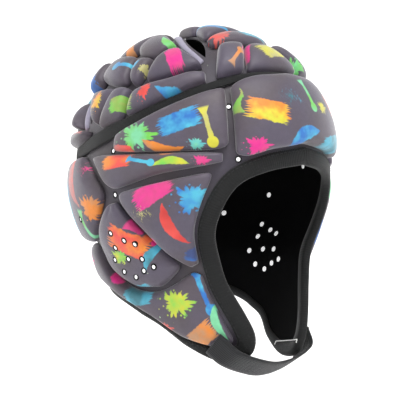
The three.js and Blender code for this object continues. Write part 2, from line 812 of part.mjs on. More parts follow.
// Pads the perforations pass through
const PIERCED = ['ear_pad_right', 'ear_pad_left', 'rear_pad_right', 'rear_pad_left', 'temple_bar_left'];

function addPad(name, spec) {
  const pad = padGeometry(spec);
  addPart(name, PIERCED.includes(name) ? cutBy(pad, CUTTERS) : pad, PRINT());
}

function addMiddlePads(table, shared) {
  for (const [name, spec] of Object.entries(table)) addPad(name, { ...shared, ...spec });
}

function addPairedPads(table, shared) {
  for (const [name, spec] of Object.entries(table)) {
    addPad(`${name}_right`, { ...shared, ...spec });
    addPad(`${name}_left`, { ...shared, ...spec, mirror: true });
  }
}

const BAND = { seat: BAND_SEAT, reach: BAND_REACH };
const CROWN = { seat: CROWN_SEAT, reach: CROWN_REACH };
const LIPS = { seat: CROWN_SEAT, reach: 0, thick: LIP_THICKNESS / PAD_THICKNESS };
addMiddlePads(MIDDLE_PADS, { ...BAND, centre: true });
addMiddlePads(CROWN_MIDDLE_PADS, { ...CROWN, centre: true });
addMiddlePads(TONGUE_PADS, CROWN);
addPairedPads(SIDE_PADS, BAND);
addPairedPads(CROWN_SIDE_PADS, CROWN);
addPairedPads(VENT_LIPS, LIPS);

export default scrumCap;
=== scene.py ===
from math import atan2, cos, degrees, hypot, pi, radians, sin, sqrt

import bmesh
import bpy
from mathutils import Matrix, Vector, kdtree
from mathutils.bvhtree import BVHTree


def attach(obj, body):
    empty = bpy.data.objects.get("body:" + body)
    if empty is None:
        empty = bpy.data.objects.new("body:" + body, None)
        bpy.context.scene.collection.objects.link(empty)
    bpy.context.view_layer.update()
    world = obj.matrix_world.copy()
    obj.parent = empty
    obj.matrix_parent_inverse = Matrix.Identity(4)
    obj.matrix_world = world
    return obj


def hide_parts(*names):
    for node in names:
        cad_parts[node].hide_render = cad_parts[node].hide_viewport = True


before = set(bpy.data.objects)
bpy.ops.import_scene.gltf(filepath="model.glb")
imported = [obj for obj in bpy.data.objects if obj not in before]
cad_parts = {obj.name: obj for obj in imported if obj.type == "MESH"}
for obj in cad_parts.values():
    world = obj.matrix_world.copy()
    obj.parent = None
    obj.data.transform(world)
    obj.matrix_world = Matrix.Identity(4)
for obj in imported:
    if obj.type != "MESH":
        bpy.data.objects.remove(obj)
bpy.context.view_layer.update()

# Padded scrum cap in metres, +Z up. The wearer faces -Y, so the wearer's right is -X.
MM = 0.001

# Lining
# Black knitted polyester, stretched over the head form and perforated with small round holes. It is the
# inner skin of the cap: the printed cover is sewn to its outside, with the foam cells in between.
HEAD_HALF_WIDTH = 74 * MM
HEAD_HALF_LENGTH = 92 * MM
CROWN_RISE = 87 * MM
SIDE_DROP = 138 * MM
LINING_WALL = 1.3 * MM
HOLE_RADIUS = 1.9 * MM
LINING_BLACK = (0.0035, 0.0035, 0.0038, 1)

# level, half width, front reach and back reach, as shares of those at the brow line
FORM = [
    (1.0, 1, 1, 1), (1.145, 1.007, 0.989, 0.967), (1.29, 0.932, 0.957, 0.902), (1.435, 0.811, 0.902, 0.815),
    (1.58, 0.764, 0.88, 0.696), (1.725, 0.685, 0.891, 0.598), (1.84, 0.568, 0.913, 0.543),
    (1.98, 0.432, 0.87, 0.489),
]


def table_value(rows, column, x):
    """Smooth value of one column of a table at x, which is read in the first column."""
    last = len(rows) - 1
    x = min(max(x, rows[0][0]), rows[last][0])
    i = 0
    while i < last - 1 and rows[i + 1][0] < x:
        i += 1

    def slope(k):
        a, b = rows[max(k - 1, 0)], rows[min(k + 1, last)]
        return (b[column] - a[column]) / (b[0] - a[0])

    span = rows[i + 1][0] - rows[i][0]
    s = (x - rows[i][0]) / span
    value = (2 * s**3 - 3 * s**2 + 1) * rows[i][column] + (3 * s**2 - 2 * s**3) * rows[i + 1][column]
    return value + span * ((s**3 - 2 * s**2 + s) * slope(i) + (s**3 - s**2) * slope(i + 1))


def form_point(turn, level):
    """Point of the head form. turn runs from the forehead towards the wearer's right, and level from 0
    at the top of the crown to 1 at the brow line and on down the sides."""
    lean = min(max(level, 0), 1) * pi / 2
    height = -(level - 1) * SIDE_DROP if level > 1 else CROWN_RISE * cos(lean)
    ring = 1 if level > 1 else sin(lean)
    width = table_value(FORM, 1, level) * HEAD_HALF_WIDTH
    reach = table_value(FORM, 2 if cos(turn) > 0 else 3, level) * HEAD_HALF_LENGTH
    return Vector((-width * ring * sin(turn), -reach * ring * cos(turn), height - CROWN_RISE))


def form_normal(turn, level, step=0.001):
    across = form_point(turn + step, level) - form_point(turn - step, level)
    down = form_point(turn, level + step) - form_point(turn, max(level - step, 0))
    return across.cross(down).normalized()


def on_head(chart, height=0.0):
    """Point at a height above the lining's inner face, for a turn in degrees and a level."""
    turn, level = radians(chart[0]), chart[1]
    if level < 0.001:
        return form_point(turn, level) + Vector((0, 0, height))
    return form_point(turn, level) + form_normal(turn, level) * height


def from_plan(right, front):
    """Turn and level of a point laid out in plan over the crown."""
    return degrees(atan2(right, front)), hypot(right, front)


def curve_at(points, t, open_ends=False):
    """Point of a smooth curve through some points; t runs from 0 to 1."""
    last = len(points) - 1
    place = min(max(t, 0), 1) * last
    i = min(int(place), last - 1)
    s = place - i
    p1, p2 = points[i], points[i + 1]
    ahead, behind = points[min(i + 2, last)], points[max(i - 1, 0)]
    if open_ends and i == 0:
        behind = [2 * a - b for a, b in zip(p1, p2)]
    if open_ends and i == last - 1:
        ahead = [2 * b - a for a, b in zip(p1, p2)]
    result = []
    for p0, a, b, p3 in zip(behind, p1, p2, ahead):
        v0, v1 = (b - p0) / 2, (p3 - a) / 2
        result.append((2 * a - 2 * b + v0 + v1) * s**3 + (3 * b - 3 * a - 2 * v0 - v1) * s**2 + v0 * s + a)
    return result


def even_steps(points, count=400):
    """Function that maps a share of a curve's length to its point."""
    samples = [curve_at(points, k / count, True) for k in range(count + 1)]
    lengths = [0.0]
    for a, b in zip(samples, samples[1:]):
        lengths.append(lengths[-1] + sqrt(sum((x - y) ** 2 for x, y in zip(a, b))))

    def at(share):
        want = min(max(share, 0), 1) * lengths[-1]
        low, high = 0, count
        while high - low > 1:
            middle = (low + high) // 2
            low, high = (middle, high) if lengths[middle] <= want else (low, middle)
        part = (want - lengths[low]) / max(lengths[high] - lengths[low], 1e-9)
        return curve_at(points, (low + part) / count, True)

    return at


# Cap's edge from the brow round the cheek to the nape: turn, level times 100, and the turn from which
# the fabric's rib to that point leaves the top of the crown
EDGE = [
    (0, 99.0, 0), (20, 102.4, 18), (35, 109.5, 31), (44.5, 125.0, 41), (47, 138.0, 49.5), (43, 155.0, 56),
    (34, 173.5, 62), (32.5, 184.0, 67), (38, 191.0, 72), (54, 192.6, 79), (70, 185.8, 87), (84, 174.2, 96),
    (110, 165.2, 116), (145, 159.8, 147), (180, 159.4, 180),
]
edge_share = even_steps(EDGE)


def edge_at(around):
    """Turn, level and rib turn of the edge. around is 0 at the brow and 0.5 at the nape, by the right;
    below 0 it runs by the left."""
    turn, level, fan = edge_share(2 * abs(around))
    sign = -1 if around < 0 else 1
    return sign * turn, level / 100, sign * fan


# Print map: flat coordinates that follow the fabric, so that a mark keeps its form over a curved pad
CROWN_ARC = (CROWN_RISE + (HEAD_HALF_WIDTH + HEAD_HALF_LENGTH) / 2) / 2 * pi / 2
BAND_RADIUS = (HEAD_HALF_WIDTH + HEAD_HALF_LENGTH) / 2


def crown_map(turn, level):
    return CROWN_ARC * level * sin(radians(turn)), CROWN_ARC * level * cos(radians(turn))


def band_map(turn, level):
    return BAND_RADIUS * radians(turn), -SIDE_DROP * level


def write_map(bm, charts, flat):
    """Writes the print map's coordinates, from each point's turn and level."""
    bm.verts.index_update()
    layer = bm.loops.layers.uv.new("print_map")
    for face in bm.faces:
        for loop in face.loops:
            loop[layer].uv = flat(*charts[loop.vert.index])


def fitted_sheet(low, high, columns=208, rows=84):
    """Skin over the whole cap, between two heights above the head form."""
    bm = bmesh.new()
    bmesh.ops.create_grid(bm, x_segments=columns, y_segments=rows, size=0.5)
    outer = bmesh.ops.extrude_face_region(bm, geom=bm.faces[:])
    raised = {item for item in outer["geom"] if isinstance(item, bmesh.types.BMVert)}
    joint = [f for f in bm.faces if all(abs(v.co.x) > 0.4999 for v in f.verts)]
    bmesh.ops.delete(bm, geom=joint, context="FACES_ONLY")
    charts = []
    for vert in bm.verts:
        turn, level, fan = edge_at(vert.co.x)
        share = vert.co.y + 0.5
        charts.append((fan + (turn - fan) * share**5, share * level))
        vert.co = on_head(charts[-1], high if vert in raised else low)
    write_map(bm, charts, band_map)
    bmesh.ops.remove_doubles(bm, verts=bm.verts, dist=0.02 * MM)
    return bm


def new_piece(name, bm, *materials):
    """Object from a bmesh, riding on the cap's one body."""
    bmesh.ops.recalc_face_normals(bm, faces=bm.faces)
    mesh = bpy.data.meshes.new(name)
    bm.to_mesh(mesh)
    bm.free()
    mesh.shade_smooth()
    for material in materials:
        mesh.materials.append(material)
    piece = bpy.data.objects.new(name, mesh)
    bpy.context.scene.collection.objects.link(piece)
    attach(piece, "root")
    return piece


def node(tree, kind, inputs=None, **settings):
    """Shader node with its settings, and its inputs set to values or linked from other nodes."""
    made = tree.nodes.new("ShaderNode" + kind)
    for key, value in settings.items():
        setattr(made, key, value)
    for key, value in (inputs or {}).items():
        if isinstance(value, bpy.types.NodeSocket):
            tree.links.new(value, made.inputs[key])
        else:
            made.inputs[key].default_value = value
    return made


def calc(tree, operation, *values, clamp=False):
    return node(tree, "Math", dict(enumerate(values)), operation=operation, use_clamp=clamp).outputs[0]


def blended(tree, share, first, second, mode="MIX"):
    """Colour between two; each may be a colour or another node's output."""
    mix = node(tree, "Mix", {0: share, 6: first, 7: second}, data_type="RGBA", blend_type=mode)
    return mix.outputs[2]


def effect(name, inputs, outputs):
    """Node group with named inputs and outputs, and its two end nodes."""
    group = bpy.data.node_groups.new(name, "ShaderNodeTree")
    kinds = {"value": "NodeSocketFloat", "vector": "NodeSocketVector", "colour": "NodeSocketColor"}
    for label, kind, start in inputs:
        socket = group.interface.new_socket(label, in_out="INPUT", socket_type=kinds[kind])
        if start is not None:
            socket.default_value = start
    for label, kind in outputs:
        group.interface.new_socket(label, in_out="OUTPUT", socket_type=kinds[kind])
    return group, group.nodes.new("NodeGroupInput").outputs, group.nodes.new("NodeGroupOutput").inputs


def knitted_effect():
    """Fine knit: rows of small loops, each pitch wide, with a little unevenness."""
    group, given, out = effect(
        "knit", [("Place", "vector", None), ("Pitch", "value", 0.7 * MM)],
        [("Height", "value"), ("Shade", "value")])
    rate = calc(group, "DIVIDE", 2 * pi, given["Pitch"])
    wobble = node(group, "TexNoise", {"Vector": given["Place"], "Scale": 300.0, "Detail": 2.0}).outputs[0]
    place = node(group, "SeparateXYZ", {0: given["Place"]}).outputs
    loops = calc(group, "MULTIPLY_ADD", wobble, 4.0, calc(group, "MULTIPLY", place[0], rate))
    courses = calc(group, "MULTIPLY_ADD", wobble, 4.0, calc(group, "MULTIPLY", place[1], rate))
    loops, courses = calc(group, "SINE", loops), calc(group, "SINE", courses)
    height = calc(group, "MULTIPLY_ADD", calc(group, "MULTIPLY", loops, courses), 0.25, 0.5)
    group.links.new(height, out["Height"])
    # Shade: darker in the low parts between the loops, which is painted shade, with a little random
    # unevenness of tone.
    shade = calc(group, "MULTIPLY_ADD", wobble, 0.3, calc(group, "MULTIPLY_ADD", height, 0.2, 0.75))
    group.links.new(shade, out["Shade"])
    return group


knit = knitted_effect()


def grey(tree, value):
    return node(tree, "CombineColor", {0: value, 1: value, 2: value}).outputs[0]


def use_effect(tree, group, inputs=None):
    placed = node(tree, "Group", node_tree=group)
    for key, value in (inputs or {}).items():
        if isinstance(value, bpy.types.NodeSocket):
            tree.links.new(value, placed.inputs[key])
        else:
            placed.inputs[key].default_value = value
    return placed.outputs


def cloth_material(name, roughness, sheen, specular):
    """Material with a Principled shader, whose constant finish is set on its own sockets."""
    material = bpy.data.materials.new(name)
    material.use_nodes = True
    shader = material.node_tree.nodes["Principled BSDF"]
    shader.inputs["Roughness"].default_value = roughness
    shader.inputs["Sheen Weight"].default_value = sheen
    shader.inputs["Sheen Roughness"].default_value = 0.4
    shader.inputs["Specular IOR Level"].default_value = specular
    return material, material.node_tree, shader


def raise_by(tree, shader, height, distance, strength=1.0):
    bump = node(tree, "Bump", {"Strength": strength, "Distance": distance, "Height": height})
    tree.links.new(bump.outputs[0], shader.inputs["Normal"])


def knitted_cloth(name, colour, pitch, depth, roughness=0.9, sheen=0.0, specular=0.25):
    """Plain knitted cloth of one colour."""
    material, tree, shader = cloth_material(name, roughness, sheen, specular)
    place = node(tree, "UVMap", uv_map="print_map").outputs[0]
    knitted = use_effect(tree, knit, {"Place": place, "Pitch": pitch})
    tone = grey(tree, knitted["Shade"])
    tree.links.new(blended(tree, 1.0, colour, tone, "MULTIPLY"), shader.inputs["Base Color"])
    raise_by(tree, shader, knitted["Height"], depth)
    return material


# Perforations: single holes between the pads, a cluster over each ear, and one more on the left
SINGLE_HOLES = [(92.5, 1.147), (94.2, 0.937), (37.6, 0.732), (34.6, 0.984), (117.3, 1.244)]
EAR_HOLES = [
    (93.6, 1.302), (86.8, 1.331), (81.9, 1.349), (93.8, 1.366), (97.3, 1.441), (87.7, 1.431), (80, 1.429),
    (74.7, 1.48), (79.9, 1.502), (91.9, 1.511), (84.9, 1.534),
]
HOLES = [(sign * turn, level) for turn, level in SINGLE_HOLES + EAR_HOLES for sign in (1, -1)]
HOLES.append((-68, 0.998))

# Vents: open slits where the crown's panels pull apart, by their two ends in plan and their width
VENTS = [((0.312, 0.285), (0.085, -0.032), 9.5 * MM), ((0.706, -0.376), (0.433, -0.464), 8 * MM)]
CUT_DEPTH = 24 * MM


def turned_to(normal, place):
    return Matrix.Translation(place) @ normal.to_track_quat("Z", "Y").to_matrix().to_4x4()


def hole_cutters():
    bm = bmesh.new()
    for chart in HOLES:
        normal = form_normal(radians(chart[0]), chart[1])
        bmesh.ops.create_cone(bm, cap_ends=True, segments=20, radius1=HOLE_RADIUS, radius2=HOLE_RADIUS,
                              depth=2 * CUT_DEPTH, matrix=turned_to(normal, on_head(chart)))
    return bm


def vent_cutters():
    bm = bmesh.new()
    for end_a, end_b, width in VENTS:
        for sign in (1, -1):
            a, b = (on_head(from_plan(sign * right, front)) for right, front in (end_a, end_b))
            middle = from_plan(sign * (end_a[0] + end_b[0]) / 2, (end_a[1] + end_b[1]) / 2)
            along = (b - a).normalized()
            side = form_normal(radians(middle[0]), middle[1]).cross(along).normalized()
            up = along.cross(side)
            half = (b - a).length / 2
            lens = bmesh.ops.create_cone(
                bm, cap_ends=True, segments=40, radius1=1, radius2=1, depth=2)["verts"]
            for vert in lens:
                x = vert.co.x
                y = vert.co.y
                bulge = (1 - x * x) * width / 2
                across = bulge * (1 if y > 0 else -1) * min(1, abs(y) / max(sqrt(max(1 - x * x, 0)), 1e-6))
                vert.co = (a + b) / 2 + along * (x * half) + side * across + up * (vert.co.z * CUT_DEPTH)
    return bm


def as_cutter(name, bm):
    bmesh.ops.recalc_face_normals(bm, faces=bm.faces)
    mesh = bpy.data.meshes.new(name)
    bm.to_mesh(mesh)
    bm.free()
    cutter = bpy.data.objects.new(name, mesh)
    bpy.context.scene.collection.objects.link(cutter)
    return cutter


hole_tool = as_cutter("hole_tool", hole_cutters())
vent_tool = as_cutter("vent_tool", vent_cutters())


def settle(piece):
    """Makes the piece's modifiers part of its mesh."""
    graph = bpy.context.evaluated_depsgraph_get()
    mesh = bpy.data.meshes.new_from_object(piece.evaluated_get(graph), depsgraph=graph)
    piece.modifiers.clear()
    piece.data = mesh


def pierce(piece, *tools):
    for tool in tools:
        cut = piece.modifiers.new("cut", "BOOLEAN")
        cut.operation = "DIFFERENCE"
        cut.object = tool
        cut.solver = "EXACT"
    settle(piece)
    piece.data.set_sharp_from_angle(angle=radians(50))


lining_cloth = knitted_cloth("black_lining", LINING_BLACK, 0.9 * MM, 0.1 * MM, specular=0.05)
lining = new_piece("lining", fitted_sheet(0, LINING_WALL), lining_cloth)
pierce(lining, hole_tool, vent_tool)
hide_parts("lining_shell")

# Printed cover
# Smooth polyester with an all-over print, sewn to the lining in the channels between the foam cells.
# Only the channels, the strip beside the bound edge and the ground of the crown are seen of it, and its
# whole print is darkened there as painted shade.
COVER_LOW = 1.35 * MM
COVER_HIGH = 2.5 * MM
GROUND_PLUM = (0.072, 0.060, 0.088, 1)
GROUND_BROWN = (0.068, 0.053, 0.064, 1)



INK_DEPTH = 0.7


def to_linear(red, green, blue):
    """Colour as it looks under the studio's bright light, in 8-bit steps, as the shader takes it."""
    parts = [c / 255 for c in (red, green, blue)]
    return (*[INK_DEPTH * (c / 12.92 if c <= 0.04045 else ((c + 0.055) / 1.055) ** 2.4) for c in parts], 1)


INKS = {
    "magenta": to_linear(238, 38, 150), "pink": to_linear(232, 70, 140), "salmon": to_linear(200, 108, 102),
    "coral": to_linear(247, 84, 74), "red": to_linear(214, 52, 48), "orange": to_linear(250, 148, 48),
    "tan": to_linear(196, 146, 106), "yellow": to_linear(226, 220, 60), "olive": to_linear(168, 164, 92),
    "khaki": to_linear(196, 190, 128), "lime": to_linear(122, 214, 82), "mint": to_linear(132, 222, 168),
    "teal": to_linear(62, 128, 142), "turquoise": to_linear(84, 196, 226), "blue": to_linear(44, 120, 204),
    "navy": to_linear(52, 72, 128), "cream": to_linear(226, 216, 190),
}
INK_EDGE = 0.05


def mark_ends(name):
    """Group of a printed mark: its own place from -1 to 1 along and across, the shared edge noise, and
    how many times longer than wide it is."""
    group, given, out = effect(
        name, [("Local", "vector", None), ("Edge", "value", 0.0), ("Slender", "value", 2.0)],
        [("Mask", "value")])
    x, y, _ = node(group, "SeparateXYZ", {0: given["Local"]}).outputs
    return group, given, out, x, y


def close_mark(group, out, inside):
    """Turns a value that is above 0 inside the mark into its mask."""
    mask = node(group, "MapRange", {0: inside, 1: -INK_EDGE, 2: INK_EDGE, 3: 0.0, 4: 1.0}).outputs[0]
    group.links.new(mask, out["Mask"])
    return group


def distance(group, x, y):
    return calc(group, "SQRT", calc(group, "MULTIPLY_ADD", x, x, calc(group, "MULTIPLY", y, y)))


def stretched_noise(group, x, y, along, across, detail=2.0):
    x, y = calc(group, "MULTIPLY", x, along), calc(group, "MULTIPLY", y, across)
    place = node(group, "CombineXYZ", {0: x, 1: y})
    return node(group, "TexNoise", {"Vector": place.outputs[0], "Scale": 1.0, "Detail": detail}).outputs[0]


def brush_mark():
    """Broad stroke of a dry brush, with bristle streaks that run out at both ends."""
    group, given, out, x, y = mark_ends("brush_mark")
    streak = stretched_noise(group, x, y, 0.8, 7.0)
    end = calc(group, "SUBTRACT", calc(group, "SUBTRACT", 1.25, calc(group, "ABSOLUTE", x)), streak)
    side = calc(group, "SUBTRACT", 1.0, calc(group, "ABSOLUTE", y))
    side = calc(group, "MULTIPLY_ADD", given["Edge"], 0.5, side)
    worn = calc(group, "MULTIPLY_ADD", calc(group, "ABSOLUTE", x), -0.5, 1.12)
    dry = calc(group, "SUBTRACT", worn, streak)
    return close_mark(group, out, calc(group, "MINIMUM", calc(group, "MINIMUM", end, side), dry))


def leaf_mark():
    """Bent leaf or fin, pointed at both ends, with a torn edge."""
    group, given, out, x, y = mark_ends("leaf_mark")
    square = calc(group, "MULTIPLY", x, x)
    bent = calc(group, "ADD", y, calc(group, "MULTIPLY_ADD", square, -0.7, 0.3))
    wider = calc(group, "MULTIPLY_ADD", x, 0.22, 0.55)
    half = calc(group, "MULTIPLY", calc(group, "SUBTRACT", 1.0, square), wider)
    inside = calc(group, "SUBTRACT", half, calc(group, "ABSOLUTE", bent))
    inside = calc(group, "MULTIPLY_ADD", given["Edge"], 0.4, inside)
    return close_mark(group, out, calc(group, "MINIMUM", inside, calc(group, "SUBTRACT", 1.0, square)))


def drip_mark():
    """Run of wet ink: a ragged start, a thin neck and a round drop at its end."""
    group, given, out, x, y = mark_ends("drip_mark")
    start = calc(group, "MAXIMUM", calc(group, "MULTIPLY_ADD", x, -1.6, -0.9), 0.0)
    half = calc(group, "ADD", start, calc(group, "MULTIPLY_ADD", given["Edge"], 0.5, 0.36))
    neck = calc(group, "SUBTRACT", half, calc(group, "ABSOLUTE", y))
    neck = calc(group, "MINIMUM", neck, calc(group, "SUBTRACT", 0.9, calc(group, "ABSOLUTE", x)))
    along = calc(group, "MULTIPLY", calc(group, "SUBTRACT", x, 0.78), given["Slender"])
    far = distance(group, along, y)
    return close_mark(group, out, calc(group, "MAXIMUM", neck, calc(group, "SUBTRACT", 0.85, far)))


def splash_mark():
    """Thrown blot with arms of uneven length, and loose drops round it."""
    group, given, out, x, y = mark_ends("splash_mark")
    far = distance(group, x, y)
    round_x, round_y = (calc(group, "DIVIDE", v, calc(group, "MAXIMUM", far, 0.05)) for v in (x, y))
    arms = stretched_noise(group, round_x, round_y, 2.4, 2.4, 3.0)
    reach = calc(group, "MULTIPLY_ADD", calc(group, "POWER", arms, 2.0), 1.9, 0.12)
    blot = calc(group, "SUBTRACT", calc(group, "MULTIPLY_ADD", given["Edge"], 0.5, reach), far)
    drops = node(group, "TexVoronoi", {"Vector": given["Local"], "Scale": 3.4}).outputs["Distance"]
    drops = calc(group, "SUBTRACT", calc(group, "MULTIPLY_ADD", far, -0.16, 0.28), drops)
    drops = calc(group, "MINIMUM", drops, calc(group, "SUBTRACT", 1.0, far))
    return close_mark(group, out, calc(group, "MAXIMUM", blot, drops))


def flame_mark():
    """Waved tongue that narrows to a point."""
    group, given, out, x, y = mark_ends("flame_mark")
    ragged = calc(group, "MULTIPLY", given["Edge"], 3.0)
    wave = calc(group, "SINE", calc(group, "MULTIPLY_ADD", x, 3.4, ragged))
    bent = calc(group, "ABSOLUTE", calc(group, "MULTIPLY_ADD", wave, -0.35, y))
    half = calc(group, "MULTIPLY", calc(group, "SUBTRACT", 0.95, x), 0.3)
    inside = calc(group, "MULTIPLY_ADD", given["Edge"], 0.5, calc(group, "SUBTRACT", half, bent))
    end = calc(group, "SUBTRACT", 1.0, calc(group, "ABSOLUTE", x))
    return close_mark(group, out, calc(group, "MINIMUM", inside, end))


def scratch_mark():
    """Many fine scratchy lines that cross, inside an oval."""
    group, given, out, x, y = mark_ends("scratch_mark")
    far = distance(group, x, y)
    one = stretched_noise(group, calc(group, "ADD", x, y), calc(group, "SUBTRACT", x, y), 0.7, 8.0)
    two = stretched_noise(group, calc(group, "ADD", x, calc(group, "MULTIPLY", y, 3.0)), x, 0.6, 9.0)
    least = calc(group, "MULTIPLY_ADD", far, 0.25, 0.5)
    lines = calc(group, "SUBTRACT", calc(group, "MAXIMUM", one, two), least)
    return close_mark(group, out, calc(group, "MINIMUM", lines, calc(group, "SUBTRACT", 1.0, far)))


MARKS = {"brush": brush_mark(), "leaf": leaf_mark(), "drip": drip_mark(), "splash": splash_mark(),
         "flame": flame_mark(), "scratch": scratch_mark()}


def ground_effect():
    """Plum ground of the print, mottled and with a few small flecks, and the noise its marks share."""
    group, given, out = effect(
        "print_ground", [("Place", "vector", None)],
        [("Color", "colour"), ("Edge", "value"), ("Wash", "value"), ("Roughness", "value")])
    place = given["Place"]
    rough = node(group, "TexNoise", {
        "Vector": place, "Scale": 260.0, "Detail": 4.0, "Roughness": 0.65}).outputs[0]
    wash = node(group, "TexNoise", {"Vector": place, "Scale": 75.0, "Detail": 3.0}).outputs[0]
    cloud = node(group, "TexNoise", {"Vector": place, "Scale": 26.0, "Detail": 2.0}).outputs[0]
    group.links.new(calc(group, "SUBTRACT", rough, 0.5), out["Edge"])
    wash = node(group, "MapRange", {0: wash, 1: 0.4, 2: 0.62, 3: 0.0, 4: 1.0}).outputs[0]
    group.links.new(wash, out["Wash"])
    cloud = node(group, "MapRange", {0: cloud, 1: 0.4, 2: 0.65, 3: 0.0, 4: 1.0}).outputs[0]
    ground = blended(group, cloud, GROUND_PLUM, GROUND_BROWN)
    grain = node(group, "TexNoise", {"Vector": place, "Scale": 2600.0, "Detail": 1.0}).outputs[0]
    grain = calc(group, "MULTIPLY_ADD", grain, 0.3, 0.85)
    ground = blended(group, 1.0, ground, grey(group, grain), "MULTIPLY")
    cells = node(group, "TexVoronoi", {"Vector": place, "Scale": 70.0, "Randomness": 1.0})
    far = calc(group, "MULTIPLY_ADD", rough, 0.12, cells.outputs["Distance"])
    speck = calc(group, "LESS_THAN", far, 0.105)
    chance = node(group, "SeparateColor", {0: cells.outputs["Color"]}).outputs
    speck = calc(group, "MULTIPLY", speck, calc(group, "GREATER_THAN", chance[0], 0.62))
    tint = blended(group, chance[1], INKS["cream"], INKS["mint"])
    group.links.new(blended(group, calc(group, "MULTIPLY", speck, 0.75), ground, tint), out["Color"])
    group.links.new(calc(group, "MULTIPLY_ADD", rough, 0.16, 0.44), out["Roughness"])
    return group


print_ground = ground_effect()


def print_material(name, marks, shade=1.0):
    """Printed polyester: the ground, and over it each mark in turn. A mark has its place on the cloth,
    its angle in degrees, its length and width in millimetres, and its two inks. The colour is darkened
    by the shade factor, and further towards the base of each cell, where the grooves lie: both are
    painted shade."""
    material, tree, shader = cloth_material(name, 0.5, 0.45, 0.4)
    place = node(tree, "UVMap", uv_map="print_map").outputs[0]
    ground = use_effect(tree, print_ground, {"Place": place})
    colour = ground["Color"]
    for kind, spot, angle, length, width, ink, second in marks:
        local = node(tree, "Mapping", {
            "Vector": place, "Location": (*spot, 0), "Rotation": (0, 0, radians(angle)),
            "Scale": (length * MM / 2, width * MM / 2, 1)}, vector_type="TEXTURE").outputs[0]
        shape = {"Local": local, "Edge": ground["Edge"], "Slender": length / width}
        mask = use_effect(tree, MARKS[kind], shape)["Mask"]
        inked = blended(tree, ground["Wash"], INKS[ink], INKS[second])
        colour = blended(tree, mask, colour, inked)
    # Painted shade: the colour darkens towards the base of each cell, and by the shade factor over the whole
    # cloth.
    sewn = node(tree, "Attribute", attribute_name="sewn").outputs["Fac"]
    knitted = use_effect(tree, knit, {"Place": place, "Pitch": 0.8 * MM})
    depth = calc(tree, "MULTIPLY", calc(tree, "MULTIPLY_ADD", sewn, -0.7 * shade, shade), knitted["Shade"])
    tree.links.new(blended(tree, 1.0, colour, grey(tree, depth), "MULTIPLY"), shader.inputs["Base Color"])
    tree.links.new(ground["Roughness"], shader.inputs["Roughness"])
    raise_by(tree, shader, knitted["Height"], 0.08 * MM)
    return material


